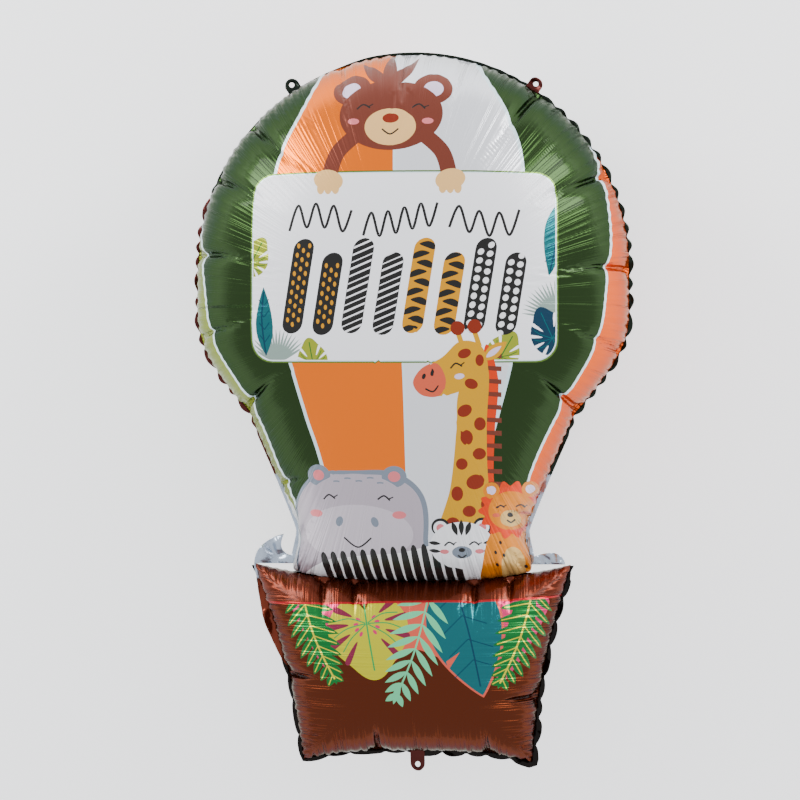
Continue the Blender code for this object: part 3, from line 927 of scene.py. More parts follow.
def foil_material():
    """Metallised film, gravure printed: clear inks let the aluminium shine through as a satin
    metal, opaque whites hide it, and the film over the print gives a thin gloss.
    """
    material = bpy.data.materials.new("printed foil")
    material.use_nodes = True
    tree = material.node_tree
    shader = tree.nodes["Principled BSDF"]
    ink = add_node(tree, "ShaderNodeAttribute", {"attribute_name": "ink"})
    sheen = add_node(tree, "ShaderNodeAttribute", {"attribute_name": "sheen"})
    span = {"To Min": OPAQUE_INK_ROUGHNESS, "To Max": CLEAR_INK_ROUGHNESS}
    span["Value"] = sheen.outputs["Fac"]
    rough = add_node(tree, "ShaderNodeMapRange", {}, span)
    shader.inputs["Specular Tint"].default_value = linear("a4aaa0")
    shader.inputs["Coat Weight"].default_value = 0.12
    shader.inputs["Coat Roughness"].default_value = 0.1
    tree.links.new(pleat_bump(tree).outputs["Normal"], shader.inputs["Normal"])
    tree.links.new(ink.outputs["Color"], shader.inputs["Base Color"])
    tree.links.new(sheen.outputs["Fac"], shader.inputs["Metallic"])
    tree.links.new(rough.outputs["Result"], shader.inputs["Roughness"])
    return material


def pleat_bump(tree):
    """The finest pleats: sharp valleys across the weld that die out inwards."""
    pleats = add_node(tree, "ShaderNodeAttribute", {"attribute_name": "pleats"})
    parts = add_node(tree, "ShaderNodeSeparateXYZ", {}, {"Vector": pleats.outputs["Vector"]})
    along, gap, depth = parts.outputs

    def maths(operation, a, b=0.0):
        """The output of a Math node."""
        return add_node(tree, "ShaderNodeMath", {"operation": operation}, ((0, a), (1, b))).outputs[0]

    def wander(scale, detail):
        """Noise along the weld."""
        sockets = {"W": along, "Scale": scale, "Detail": detail}
        return add_node(tree, "ShaderNodeTexNoise", {"noise_dimensions": "1D"}, sockets).outputs["Fac"]

    # The spacing wanders over about 24 mm, and the pleats' run over about 7 mm
    drift = maths("MULTIPLY", wander(42.0, 2.0), 6.0)
    phase = maths("ADD", maths("DIVIDE", along, FINE_PLEAT_SPACING), drift)
    ridge = maths("ABSOLUTE", maths("SINE", maths("MULTIPLY", phase, math.pi)))
    uneven = maths("MULTIPLY", maths("POWER", wander(150.0, 1.0), 2.0), 0.24)
    run = maths("MINIMUM", uneven, FINE_PLEAT_RUN)
    fade = maths("POWER", math.e, maths("MULTIPLY", maths("DIVIDE", gap, run), -1.0))
    height = maths("MULTIPLY", maths("MULTIPLY", maths("POWER", ridge, 0.9), fade), depth)
    relief = {"Height": height, "Distance": FINE_PLEAT_DEPTH, "Strength": 1.0}
    return add_node(tree, "ShaderNodeBump", {}, relief)


def add_node(tree, kind, settings, inputs=()):
    """A node with these settings, and its inputs given as values or linked outputs."""
    node = tree.nodes.new(kind)
    for name, value in settings.items():
        setattr(node, name, value)
    for name, value in dict(inputs).items():
        if isinstance(value, bpy.types.NodeSocket):
            tree.links.new(value, node.inputs[name])
        else:
            node.inputs[name].default_value = value
    return node


def shared_material(name, make):
    """The material of this name, made when it is first asked for."""
    return bpy.data.materials.get(name) or make()


# The print ------------------------------------------------------------------------------------
# Lines between the gores, from the crown to the waist, in mm
GORE_LINES = (
    (
        (-292, 300), (-267, 255), (-262, 205), (-253, 132), (-240, 80), (-192, 4), (-156, -80),
        (-137, -128), (-122, -215),
    ),
    (
        (-92, 475), (-131, 367), (-155, 310), (-162, 240), (-158, 150), (-139, 62), (-121, -4),
        (-101, -69), (-72, -215),
    ),
    ((-20, 475), (-14, 380), (-12, 286), (-9, 170), (-1, 63), (2, -68), (3, -215)),
    (
        (58, 475), (112, 384), (132, 341), (142, 285), (143, 170), (129, 66), (104, -31),
        (88, -90), (66, -215),
    ),
    (
        (200, 375), (220, 337), (240, 285), (250, 222), (246, 164), (232, 84), (188, 6),
        (151, -73), (139, -128), (128, -215),
    ),
)
GORE_LINE_WIDTHS = (2.8, 4.2, 2.6, 4.2, 2.8)
GORE_INKS = ("olive", "green", "orange", "silver", "green", "coral")
# Bare silver on both sides of the neck
NECK_SILVER = (
    [(139, -128), (200, -150), (200, -230), (124, -230)],
    [(-176, -80), (-150, -108), (-137, -130), (-126, -150), (-122, -230), (-230, -230), (-230, -80)],
)
# The white board: its left, bottom, right and top, and its corners' radius
SIGN = (-185, 62, 181, 285)
SIGN_CORNER = 24
BAR_WIDTH = 25
BAR_LEAN = 0.16


def gore_layers():
    """The envelope's stripes and the fine lines between them."""
    layers = []
    for line, ink in zip(GORE_LINES, GORE_INKS[1:]):
        curve = curve_points(line, closed=False, step=4)
        over = (curve[0][0] - 60, 475)
        beyond = [curve[-1], (420, -215), (420, 475), over, curve[0]]
        beyond = straight_points(beyond, 5, closed=False)
        layers.append((ink, np.concatenate([curve, beyond])))
    layers += [("silver", straight_points(patch)) for patch in NECK_SILVER]
    for line, width in zip(GORE_LINES, GORE_LINE_WIDTHS):
        layers.append(("line", stroke(line, width)))
    return layers


def sign_layers():
    """The white board with its rows of patterned strokes and its leaves, and a painted reflection round it.
    """
    left, bottom, right, top = SIGN
    layers = []
    # Round the board: a lighter green rim that is a painted reflection of the board in the film, then a pale
    # line, then the board.
    for ink, rim, corner in (("painted reflection", 3, 2), ("line", 1.2, 1), ("sign", 0, 0)):
        box = (left - rim, bottom - rim, right + rim, top + rim)
        layers.append((ink, rounded_box(*box, SIGN_CORNER + corner)))
    return layers + board_leaves() + board_strokes()


def closed_eye(x, y, size, turn=0.0):
    """A sleeping eye: a short arc with two lashes."""
    arc = turned([(-size, -0.35 * size), (0, 0.35 * size), (size, -0.35 * size)], turn) + (x, y)
    lash = turned([(size * 0.8, -0.1 * size), (size * 1.5, 0.25 * size)], turn) + (x, y)
    return [("ink", stroke(arc, 2.0)), ("ink", stroke(lash, 1.4))]


def mirrored(middle, *marks):
    """Marks left and right of a figure's middle. A mark is (ink, aside, y, half_x, half_y, turn),
    or for a sleeping eye ("eye", aside, y, size, turn).
    """
    layers = []
    for side in (-1, 1):
        for ink, aside, *shape, turn in marks:
            if ink == "eye":
                layers += closed_eye(middle + side * aside, *shape, side * turn)
            else:
                layers.append((ink, oval(middle + side * aside, *shape, side * turn)))
    return layers


def smile(x, y, size, turn=0.0):
    """A short upturned line."""
    points = turned([(-size, 0.3 * size), (0, -0.4 * size), (size, 0.3 * size)], turn) + (x, y)
    return [("ink", stroke(points, 2.0))]


def leaf_axes(base, tip):
    """A leaf's two ends, the way between them, and a step of one to its left."""
    base, tip = np.array(base, float), np.array(tip, float)
    along = tip - base
    return base, tip, along, np.array([-along[1], along[0]]) / np.linalg.norm(along)


def pointed_leaf(base, tip, width, fullest=0.45):
    """A leaf's outline, pointed at both ends."""
    base, tip, along, side = leaf_axes(base, tip)
    share = np.linspace(0, 1, max(8, int(np.linalg.norm(along) / 3)))[:, None]
    bulge = np.where(share < fullest, share / fullest, (1 - share) / (1 - fullest))
    swell = np.sin(np.clip(bulge, 0, 1) * math.pi / 2) ** 0.9
    spine, half = base + along * share, side * width / 2 * swell
    return np.concatenate([spine + half, (spine - half)[::-1]])


def frond(base, tip, reach, leaflets, width, ink, vein, curl=0.0, lean=38):
    """A feathered leaf: leaflets on both sides of a spine that may curl."""
    base, tip, along, side = leaf_axes(base, tip)
    heading = math.degrees(math.atan2(along[1], along[0]))
    spine = [base + along * s + side * curl * math.sin(math.pi * s) for s in np.linspace(0, 1, 5)]
    layers, veins = [], []
    for index in range(leaflets):
        share = 0.03 + 0.92 * index / (leaflets - 1)
        root = base + along * share + side * curl * math.sin(math.pi * share)
        size = reach * (0.55 + 0.75 * math.sin(math.pi * min(1, 0.25 + 0.68 * share)) - 0.30 * share)
        for turn in (-1, 1):
            end = root + unit(heading + turn * (lean + 22 * (1 - share))) * size
            layers.append((ink, pointed_leaf(root, end, width)))
            veins.append((vein, stroke([root, blend(root, end, 0.5), blend(root, end, 0.86)], 1.3)))
    layers.append((ink, pointed_leaf(blend(base, tip, 0.85), tip + along * 0.06, width)))
    if vein != ink:
        layers.append((ink, pointed_leaf(base, tip, reach * 0.95, 0.3)))
        layers += veins
    return layers + [(vein, stroke(spine, 2.2))]


def split_leaf(x, y, size, turn, ink, vein, gap, holes=None, wide=0.92):
    """A heart-shaped leaf with slots in from its rim, turned by degrees from tip down."""

    def rim(angle):
        """The rim's distance from the stalk, at this angle from the tip."""
        heart = 0.80 + 0.16 * np.cos(angle) + 0.30 * np.exp(-((angle / 0.35) ** 2))
        heart *= 1 - 0.55 * np.exp(-(((np.abs(angle) - math.pi) / 0.28) ** 2))
        return size * heart

    def spot(angle, share, aside=0.0):
        """A place this share of the way out to the rim."""
        reach, way = rim(angle) * share, np.array([np.sin(angle) * wide, -np.cos(angle)])
        return way * reach + np.array([-way[1], way[0]]) * aside * size

    around = np.linspace(-math.pi, math.pi, 150, endpoint=False)
    blade = [rim(around) * np.sin(around) * wide, -rim(around) * np.cos(around)]
    layers = [(ink, np.stack(blade, -1))]
    thick = max(1.2, size * 0.035)
    for side in (-1, 1):
        for degrees in (33, 62, 92, 124):
            angle = side * math.radians(degrees)
            slot = [spot(angle, 0.46), spot(angle, 0.6, 0.035), spot(angle, 1.0, 0.07)]
            slot += [spot(angle, 1.0, -0.05), spot(angle, 0.6, -0.035)]
            layers.append((gap, curve_points(slot, step=2)))
            if holes:
                hole = oval(*spot(angle, 0.27), size * 0.035, size * 0.06, degrees * side)
                layers.append((holes, hole))
        for degrees in (48, 77, 108):
            angle = side * math.radians(degrees)
            ribs = [spot(angle, 0.03), spot(angle * 1.06, 0.5), spot(angle * 0.94, 0.86)]
            layers.append((vein, stroke(ribs, thick * 0.7)))
    layers.append((vein, stroke([(0, 0.45 * size), (0, -0.4 * size), (0, -1.05 * size)], thick)))
    return [(name, turned(outline, turn) + (x, y)) for name, outline in layers]


def broad_leaf(base, tip, width, ink, vein, tears=(), fullest=0.4):
    """A long entire leaf with a middle vein, and wedges torn in: (share, side, ink)."""
    base, tip, along, side = leaf_axes(base, tip)
    layers = [(ink, pointed_leaf(base, tip, width, fullest))]
    for share, turn, under in tears:
        edge = width / 2 * math.sin((1 - share) / (1 - fullest) * math.pi / 2) ** 0.9
        mouth = base + along * share + side * turn * edge
        root = base + along * (share - 0.08) + side * turn * edge * 0.42
        layers.append((under, straight_points([mouth - along * 0.035, mouth + along * 0.03, root])))
    layers.append((vein, stroke([base, blend(base, tip, 0.5) + side * 3, blend(base, tip, 0.93)], 1.8)))
    for share in (0.2, 0.38, 0.56, 0.72):
        for turn in (-1, 1):
            root = base + along * share
            end = root + along * 0.10 + side * turn * width * 0.30
            layers.append((vein, stroke([root, blend(root, end, 0.5), end], 1.0)))
    return layers


def fan_leaf(x, y, reach, turn, spread, blades, ink):
    """Thin blades that fan out from one point."""
    layers = []
    for degrees in np.linspace(turn - spread / 2, turn + spread / 2, blades):
        tip = unit(degrees) * reach + (x, y)
        layers.append((ink, pointed_leaf((x, y), tip, reach * 0.075)))
    return layers


def bear():
    """A sleepy bear that looks over the board, its paws on the top edge."""
    middle = -18
    tufts = ((-58, 432), (-22, 446), (12, 440))
    layers = [("bark", pointed_leaf((-24, 398), tuft, 17)) for tuft in tufts]
    for side in (-1, 1):
        arm = [(middle + side * 34, 338), (middle + side * 62, 312), (middle + side * 72, 282)]
        layers.append(("bark", stroke(arm, 19)))
        layers.append(("bark", oval(middle + side * 50, 394, 24, 22)))
        layers.append(("lilac", oval(middle + side * 51, 394, 12, 11)))
        layers.append(("cream", oval(middle + side * 73, 277, 18, 13, side * 12)))
        for toe in (-9, 0, 9):
            layers.append(("cream", oval(middle + side * 73 + toe, 267, 4.6, 7)))
    layers.append(("bark", oval(middle, 360, 63, 47)))
    layers.append(("cream", oval(middle, 343, 31, 24)))
    layers += mirrored(middle, ("eye", 34, 370, 8, -6), ("pink", 45, 350, 7, 4, 0))
    return layers + [("spot", oval(middle, 354, 10, 6.5)), *smile(middle, 337, 10)]


def long_neck():
    """A spotted long-necked animal in profile, looking to the left."""
    mane = [(96, 78), (112, 40), (108, -20), (106, -80), (112, -140), (92, -140), (88, -40)]
    neck = [(78, 58), (100, 52), (98, -20), (100, -90), (112, -160)]
    neck += [(36, -170), (54, -90), (62, -20), (64, 20)]
    head = [(98, 66), (88, 82), (66, 84), (46, 66), (22, 52), (12, 36), (22, 22), (48, 20)]
    head += [(78, 30), (98, 44)]
    muzzle = [(40, 58), (22, 53), (11, 36), (21, 21), (42, 20), (50, 38)]
    layers = [("flame", curve_points(mane))]
    for index in range(13):
        y = 66 - 15.5 * index
        layers.append(("bark", straight_points([(97, y), (116, y - 2), (116, y + 4), (97, y + 5)])))
    layers.append(("yellow", pointed_leaf((94, 62), (122, 84), 16)))
    layers.append(("lilac", pointed_leaf((97, 65), (116, 79), 7)))
    layers.append(("yellow", curve_points(neck)))
    layers.append(("yellow", curve_points(head)))
    layers.append(("coral muzzle", curve_points(muzzle)))
    for x, y in ((64, 98), (84, 100)):
        layers.append(("yellow", stroke([(x + 6, 78), (x + 2, 90), (x, 96)], 6)))
        layers.append(("spot", oval(x, y + 2, 8.5, 8.5)))
    for spot in (
        (72, 70, 8, 5.5, 20), (90, 62, 5, 7), (80, 34, 8, 6, -20), (72, 2, 9, 7, 30), (90, -14, 7, 8),
        (74, -30, 7.5, 9, 10), (89, -50, 8, 7), (68, -62, 7, 7), (84, -84, 11, 9, 15),
        (62, -98, 7, 9), (98, -112, 8, 8), (76, -120, 8, 7), (56, -134, 8, 7), (96, -146, 9, 7),
    ):
        layers.append(("spot", oval(*spot)))
    layers += closed_eye(62, 56, 7, 10)
    layers.append(("lilac", oval(66, 43, 6, 3.4, 8)))
    layers += [("ink", oval(x, y, 2.2, 3.6, -20)) for x, y in ((24, 43), (34, 47))]
    return layers + smile(34, 28, 8, 14)


def hippo():
    """A big grey river animal seen from the front."""
    middle = -60
    shade = [(-138, -160), (-140, -112), (-112, -76), (-60, -70), (-10, -72), (22, -100)]
    shade += [(26, -150), (10, -215), (-130, -215)]
    body = [(-136, -160), (-137, -114), (-110, -80), (-60, -75), (-14, -78), (16, -102)]
    body += [(20, -150), (6, -215), (-128, -215)]
    layers = [("shade grey", curve_points(shade)), ("grey", curve_points(body))]
    layers += mirrored(middle, ("shade grey", 47, -77, 15, 13, 0), ("pink", 47, -77, 7.5, 6.5, 0))
    layers.append(("grey", oval(middle, -112, 62, 38)))
    layers.append(("pale grey", oval(middle, -148, 68, 36)))
    nostril, cheek = ("shade grey", 22, -133, 4.5, 6.5, 20), ("pink", 52, -124, 8.5, 4.8, 0)
    layers += mirrored(middle, nostril, ("eye", 34, -103, 7.5, -4), cheek)
    for x, y in ((-84, -84), (-70, -80), (-56, -83), (-42, -79), (-30, -85)):
        layers.append(("shade grey", stroke([(x - 4, y), (x, y + 0.6), (x + 4, y)], 1.8)))
    return layers + smile(middle, -158, 17)


def striped_cub():
    """A striped cub asleep along the basket's rim, its head to the right."""
    middle = 66
    body = [(-118, -214), (-108, -186), (-60, -176), (-10, -172), (40, -160), (84, -160)]
    body += [(110, -190), (112, -216)]
    layers = [("white", curve_points(body))]
    for index in range(14):
        x = -108 + 12.5 * index
        top = -182 + 0.09 * (x + 108) + 6
        stripe = [(x, top), (x + 6, top + 2), (x + 12, -196), (x + 15, -216)]
        stripe += [(x + 7, -216), (x + 3, -198)]
        layers.append(("ink", curve_points(stripe)))
    ear = (("ink", 25, -139, 11, 11, 0), ("white", 25, -140, 8.5, 8.5, 0), ("pink", 25, -140, 5, 5, 0))
    layers += mirrored(middle, *ear)
    layers.append(("white", oval(middle, -163, 38, 30)))
    for index in (-1, 0, 1):
        top, low = (middle + index * 11, -130 - abs(index) * 2.5), (middle + index * 5, -150)
        layers.append(("ink", pointed_leaf(top, low, 6.5)))
    for side in (-1, 1):
        for y in (-158, -168):
            outer, inner = (middle + side * 40, y), (middle + side * 25, y - 2)
            layers.append(("ink", pointed_leaf(outer, inner, 5)))
        layers += closed_eye(middle + side * 15, -160, 6, side * -4)
        layers.append(("pink", oval(middle + side * 21, -170, 5.5, 3)))
    layers.append(("shade grey", oval(middle, -171, 12, 8)))
    return layers + [("ink", oval(middle, -168, 4, 2.8)), *smile(middle, -176, 5)]


def maned_cub():
    """A seated cub with a short mane, at the right."""
    middle = 126
    body = [(100, -150), (124, -140), (150, -150), (158, -190), (156, -222), (92, -222), (90, -190)]
    layers = [("fox", curve_points(body)), ("chest", oval(128, -196, 15, 30, 4))]
    angle = np.linspace(0, 2 * math.pi, 160, endpoint=False)
    ruff = 36 + 3.5 * np.cos(14 * angle)
    mane = [middle + ruff * np.cos(angle), -120 + 0.92 * ruff * np.sin(angle)]
    layers.append(("flame", np.stack(mane, -1)))
    layers += mirrored(middle, ("fox", 23, -95, 10, 10, 0), ("lilac", 23, -95, 5.5, 5.5, 0))
    layers.append(("fox", oval(middle, -121, 27, 24)))
    layers.append(("chest", oval(middle, -131, 13, 10)))
    cheek = ("coral muzzle", 18, -126, 4.5, 2.6, 0)
    layers += mirrored(middle, ("eye", 12, -116, 5, -4), cheek)
    for x, y in ((112, -160), (106, -172), (116, -176), (108, -188), (144, -162), (147, -178), (143, -192)):
        layers.append(("ink", oval(x, y, 1.7, 2.6, 20)))
    return layers + [("ink", oval(middle, -127, 4, 2.8)), *smile(middle, -134, 5)]


def board_strokes():
    """Rows of strokes where a greeting would stand: a fine wavy row over bold patterned bars."""
    layers = []
    for start, end in ((-138, -62), (-48, 40), (54, 137)):
        x = np.linspace(start, end, 2 * int((end - start) / 21) + 2)
        y = 229 + 14 * np.where(np.arange(len(x)) % 2, 1, -1) + 6 * np.sin(x / 23)
        layers.append(("ink", stroke(list(zip(x, y)), 3.2)))
    patterns = (gold_spots, slant_lines, tiger_bands, dark_patches)
    for index in range(8):
        x = -127 + 36.3 * index
        bar_low, bar_high = (94, 207) if index % 2 == 0 else (92, 190)
        layers += patterns[index // 2](x, bar_low, bar_high)
    return layers


def bar(x, low, high):
    """A leaning round-ended bar."""
    angle = np.radians(np.linspace(0, 180, 13))
    cap = np.stack([np.cos(angle), np.sin(angle)], -1) * BAR_WIDTH / 2
    outline = np.concatenate([cap + (0, high - BAR_WIDTH / 2), -cap + (0, low + BAR_WIDTH / 2)])
    outline = straight_points(outline, 2.5)
    outline[:, 0] += x + BAR_LEAN * (outline[:, 1] - (low + high) / 2)
    return outline


def in_bar(x, low, high, outline):
    """An outline leaned with its bar and kept inside it."""
    outline = np.array(outline, float)
    half = BAR_WIDTH / 2 - 0.2
    over = np.maximum(outline[:, 1] - (high - half), (low + half) - outline[:, 1])
    room = np.sqrt(np.maximum(0.5, half**2 - np.clip(over, 0, half) ** 2))
    outline[:, 0] = np.clip(outline[:, 0], -room, room)
    outline[:, 1] = np.clip(outline[:, 1], low + 0.3, high - 0.3)
    outline[:, 0] += x + BAR_LEAN * (outline[:, 1] - (low + high) / 2)
    return outline


def gold_spots(x, low, high):
    """A black bar with gold spots."""
    layers = [("ink", bar(x, low, high))]
    rows = int((high - low - 12) / 11)
    for row in range(rows):
        y = low + 11 + row * 11
        for column in (-1, 0, 1):
            spot = oval(column * 6.8, y + (column % 2) * 5.5, 1.9, 3.1, 14, 1.6)
            layers.append(("gold", in_bar(x, low, high, spot)))
    return layers


def slant_lines(x, low, high):
    """A black bar with white slanting lines."""
    layers = [("ink", bar(x, low, high))]
    for index, y in enumerate(np.arange(low - 2, high + 4, 8.5)):
        thick = (2.6, 1.5, 2.2)[index % 3]
        line = straight_points([(-12, y), (12, y + 11), (12, y + 11 + thick), (-12, y + thick)], 2.5)
        layers.append(("white", in_bar(x, low, high, line)))
    return layers


def tiger_bands(x, low, high):
    """A gold bar with black bands from both sides."""
    layers = [("gold", bar(x, low, high))]
    for index, y in enumerate(np.arange(low + 6, high - 2, 11)):
        side = 1 if index % 2 else -1
        band = [(side * 12, y), (side * 3, y + 4), (-side * 7, y + 1), (side * 1, y - 3), (side * 12, y - 6)]
        layers.append(("ink", in_bar(x, low, high, curve_points(band, step=2))))
    return layers


def dark_patches(x, low, high):
    """A black bar with white patches in pairs."""
    layers = [("ink", bar(x, low, high))]
    for row, y in enumerate(np.arange(low + 6, high - 2, 10.5)):
        for column in (-1, 1):
            cell = oval(column * 5.6, y + 4 * column, 3.9, 3.6, 25 * row, 1.8)
            layers.append(("white", in_bar(x, low, high, cell)))
    return layers


def board_leaves():
    """Leaves that come in over the board's edges and corners."""
    left, bottom, right, _ = SIGN
    layers = fan_leaf(left + 30, bottom - 4, 42, 90, 120, 17, "sage")
    layers += broad_leaf((left + 16, bottom + 6), (left + 14, bottom + 88), 22, "teal", "navy")
    layers += split_leaf(left - 2, bottom + 118, 27, 150, "lime", "leaf", "sign")
    layers += split_leaf(left + 76, bottom - 4, 25, 190, "lime", "leaf", "sign")
    layers += fan_leaf(right + 4, bottom + 50, 46, 118, 110, 17, "sage")
    layers += split_leaf(right - 4, bottom + 26, 32, 205, "navy", "teal", "sign")
    layers += broad_leaf((right + 4, bottom + 190), (right - 8, bottom + 100), 26, "teal", "navy")
    layers += split_leaf(right - 66, bottom + 4, 27, 150, "lime", "leaf", "sign")
    return [(ink, kept_in(outline)) for ink, outline in layers]


def kept_in(outline):
    """An outline that stops at the board's edge, its round corners too."""
    low, high = np.array(SIGN[:2]), np.array(SIGN[2:])
    outline = np.clip(outline, low + 0.5, high - 0.5)
    centre = np.clip(outline, low + SIGN_CORNER, high - SIGN_CORNER)
    gap = np.linalg.norm(outline - centre, axis=1, keepdims=True)
    return centre + (outline - centre) * np.minimum(1, (SIGN_CORNER - 0.5) / np.maximum(gap, 1e-9))


def basket_layers():
    """The basket's rim band, the red line under it and the leaves that hang from it."""
    line = ((-230, -238), (-150, -237), (0, -233), (120, -231), (230, -226))
    curve = curve_points(line, closed=False, step=4)
    behind = (
        ("magenta", [(-150, -226), (-92, -226), (-88, -262), (-104, -312), (-122, -290)]),
        (
            "salmon",
            [(-24, -226), (30, -226), (40, -262), (44, -300), (4, -290), (-32, -312), (-20, -270)],
        ),
        ("magenta", [(96, -226), (166, -226), (160, -262), (128, -312), (108, -330), (100, -300)]),
    )
    layers = [(ink, curve_points(points)) for ink, points in behind]
    layers += split_leaf(-53, -259, 55, 9, "sun leaf", "new green", "plum", "magenta", 1.12)
    layers.append(("salmon", pointed_leaf((50, -190), (88, -349), 96, 0.42)))
    layers += broad_leaf((50, -190), (87, -346), 91, "teal", "navy", ((0.72, -1, "salmon"),), 0.42)
    layers += frond((23, -226), (-20, -350), 35, 9, 8, "mint", "mint", 5, 38)
    layers += frond((-134, -222), (-94, -328), 31, 9, 10, "leaf", "vein", -5, 42)
    layers += frond((151, -218), (108, -332), 31, 9, 10, "leaf", "vein", 5, 42)
    layers.append(("rim", np.concatenate([curve, [(230, -150), (-230, -150)]])))
    layers.append(("red line", stroke(line, 2.6)))
    return layers


# Operators ------------------------------------------------------------------------------------
class FoilSettings(bpy.types.PropertyGroup):
    """How the film fills and creases."""

    pressure: bpy.props.FloatProperty(
        name="Pressure", description="How hard the gas pushes the film out", default=40, min=0
    )
    slack: bpy.props.FloatProperty(
        name="Slack", description="Share of the film's spare width left in its flat cut",
        default=0.75, min=0, max=1, subtype="FACTOR",
    )
    frames: bpy.props.IntProperty(
        name="Frames", description="How long the film settles", default=26, min=2, max=120
    )
    ripple_depth: bpy.props.FloatProperty(
        name="Ripple depth", description="Depth of the soft ripples along the weld",
        default=0.0008, unit="LENGTH",
    )
    ripple_length: bpy.props.FloatProperty(
        name="Ripple length", description="Distance from one fine ripple to the next",
        default=0.012, unit="LENGTH",
    )
    pleat_depth: bpy.props.FloatProperty(
        name="Pleat depth", description="Depth of the sharp pleats along the weld",
        default=0.0019, unit="LENGTH",
    )
    pleat_length: bpy.props.FloatProperty(
        name="Pleat spacing", description="Distance from one sharp pleat to the next",
        default=0.0095, unit="LENGTH",
    )
    pleat_run: bpy.props.FloatProperty(
        name="Pleat run", description="How far the longest pleats run in", default=0.060, unit="LENGTH"
    )
    seed: bpy.props.IntProperty(name="Seed", description="Changes how the ripples drift", default=3)


class StageSettings(bpy.types.PropertyGroup):
    """The camera and the light round the balloon."""

    camera_distance: bpy.props.FloatProperty(
        name="Camera distance", description="From the camera to the weld", default=3.0, unit="LENGTH"
    )
    field_width: bpy.props.FloatProperty(
        name="Field width", description="Width of the picture at the weld", default=1.0028, unit="LENGTH"
    )
    camera_turn: bpy.props.FloatProperty(
        name="Camera turn", description="How far the camera stands off to the right",
        default=math.radians(4), subtype="ANGLE",
    )
    sky: bpy.props.FloatProperty(name="Sky", description="Strength of the even light", default=1.3, min=0)


class BALLOON_OT_films(bpy.types.Operator):
    """Build the front and back films of the balloon"""

    bl_idname = "balloon.films"
    bl_label = "Films"
    bl_options = {"REGISTER", "UNDO"}

    def execute(self, context):
        settings = context.scene.foil_settings
        panels = (EnvelopePanel(), BasketPanel())
        films = [blow_up(panel, settings) for panel in panels]
        figures = bear() + long_neck() + hippo() + striped_cub() + maned_cub()
        front = (gore_layers() + sign_layers() + figures, basket_layers())
        back = (gore_layers(), basket_layers())
        for name, prints, behind in (("front_film", front, False), ("back_film", back, True)):
            parts = [
                printed_film(name, panel, film, layers, base, behind)
                for panel, film, layers, base in zip(panels, films, prints, ("olive", "basket"))
            ]
            finish_piece(joined(name, parts))
        return {"FINISHED"}


class BALLOON_OT_margin(bpy.types.Operator):
    """Build the welded margin with its flaps and eyelet tabs"""

    bl_idname = "balloon.margin"
    bl_label = "Welded margin"
    bl_options = {"REGISTER", "UNDO"}

    def execute(self, context):
        finish_piece(weld_margin("weld_margin"))
        return {"FINISHED"}


class BALLOON_OT_stage(bpy.types.Operator):
    """Set the camera, the floor and the soft studio light"""

    bl_idname = "balloon.stage"
    bl_label = "Stage"
    bl_options = {"REGISTER", "UNDO"}

    def execute(self, context):
        settings = context.scene.stage_settings
        lens = bpy.data.cameras.new("camera")
        camera = bpy.data.objects.new("camera", lens)
        context.scene.collection.objects.link(camera)
        context.scene.camera = camera
        turn, distance = settings.camera_turn, settings.camera_distance
        lens.lens = lens.sensor_width * distance / settings.field_width
        away = Vector((math.sin(turn), 0, math.cos(turn)))
        camera.location = Vector(CAMERA_AIM) + distance * away
        camera.rotation_euler = (0, turn, 0)
        floor_mesh = bmesh.new()
        bmesh.ops.create_grid(floor_mesh, x_segments=1, y_segments=1, size=FLOOR_HALF_WIDTH)
        data = bpy.data.meshes.new("floor")
        floor_mesh.to_mesh(data)
        floor_mesh.free()
        floor = bpy.data.objects.new("floor", data)
        context.scene.collection.objects.link(floor)
        data.materials.append(shared_material("floor paper", paper_material))
        world = bpy.data.worlds.new("studio")
        context.scene.world = world
        world.use_nodes = True
        background = world.node_tree.nodes["Background"]
        background.inputs["Color"].default_value = linear("f4f6fa")
        background.inputs["Strength"].default_value = settings.sky
        for name, place, size, power in SOFT_BOXES:
            lamp = bpy.data.lights.new(name, "AREA")
            lamp.shape = "RECTANGLE"
            lamp.size, lamp.size_y = size
            lamp.energy = power
            box = bpy.data.objects.new(name, lamp)
            box.location = place
            aim = Vector((0, 0, WELD_Z)) - Vector(place)
            box.rotation_euler = aim.to_track_quat("-Z", "Y").to_euler()
            context.scene.collection.objects.link(box)
        return {"FINISHED"}


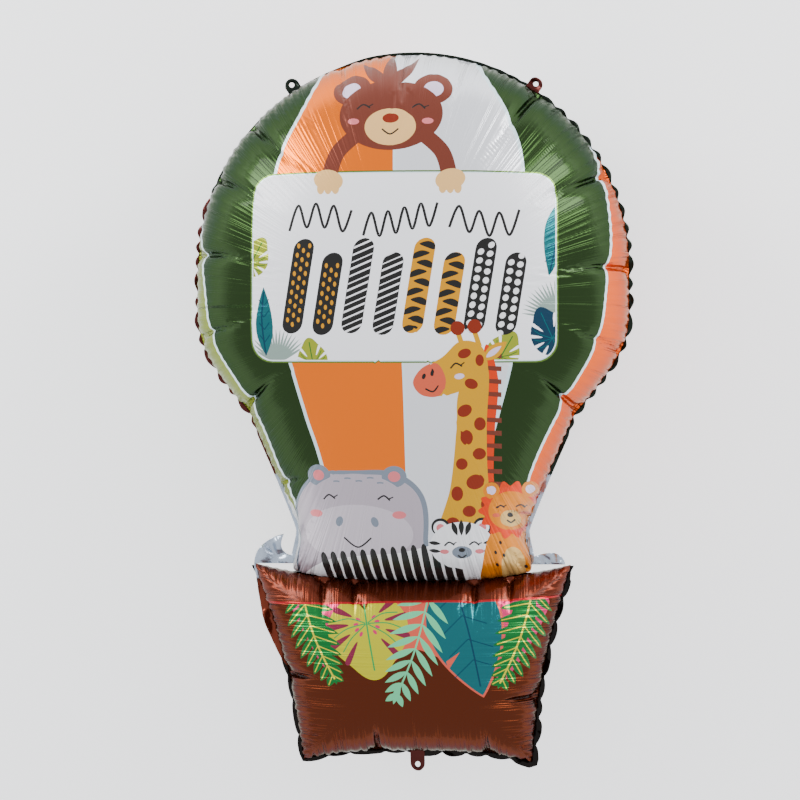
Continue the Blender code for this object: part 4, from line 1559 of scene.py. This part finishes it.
def paper_material():
    """Seamless white background paper, pressed matt: it scatters light evenly and has no gloss.
    It lies over a light table, so it glows a little.
    """
    material = bpy.data.materials.new("floor paper")
    material.use_nodes = True
    shader = material.node_tree.nodes["Principled BSDF"]
    shader.inputs["Base Color"].default_value = linear("f4f4f4")
    shader.inputs["Roughness"].default_value = 0.9
    shader.inputs["Emission Color"].default_value = linear("fbfcff")
    shader.inputs["Emission Strength"].default_value = 0.95
    return material


def lean(data):
    """Leans the basket a little to the right, from the waist down."""
    places = vertex_rows(data)
    places[:, 0] += BASKET_LEAN * np.maximum(0, WAIST_Y - places[:, 1])
    data.vertices.foreach_set("co", places.ravel())
    data.update()


def finish_piece(piece):
    """Leans a piece, gives it its foil and ties it to the part."""
    lean(piece.data)
    piece.data.materials.clear()
    piece.data.materials.append(shared_material("printed foil", foil_material))
    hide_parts("foil_balloon")
    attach(piece, "root")


class BALLOON_PT_panel(bpy.types.Panel):
    """The balloon's settings and buttons"""

    bl_label = "Foil balloon"
    bl_space_type = "VIEW_3D"
    bl_region_type = "UI"
    bl_category = "Balloon"

    def draw(self, context):
        column = self.layout.column()
        for settings in (context.scene.foil_settings, context.scene.stage_settings):
            for name in settings.__annotations__:
                column.prop(settings, name)
        for operator in OPERATORS:
            column.operator(operator.bl_idname)


OPERATORS = (BALLOON_OT_films, BALLOON_OT_margin, BALLOON_OT_stage)
CLASSES = (FoilSettings, StageSettings, *OPERATORS, BALLOON_PT_panel)


def register():
    for item in CLASSES:
        bpy.utils.register_class(item)
    bpy.types.Scene.foil_settings = bpy.props.PointerProperty(type=FoilSettings)
    bpy.types.Scene.stage_settings = bpy.props.PointerProperty(type=StageSettings)


def unregister():
    del bpy.types.Scene.stage_settings
    del bpy.types.Scene.foil_settings
    for item in reversed(CLASSES):
        bpy.utils.unregister_class(item)


def main():
    """Builds the pieces and the stage."""
    register()
    bpy.ops.balloon.films()
    bpy.ops.balloon.margin()
    bpy.ops.balloon.stage()


if __name__ == "__main__":
    main()
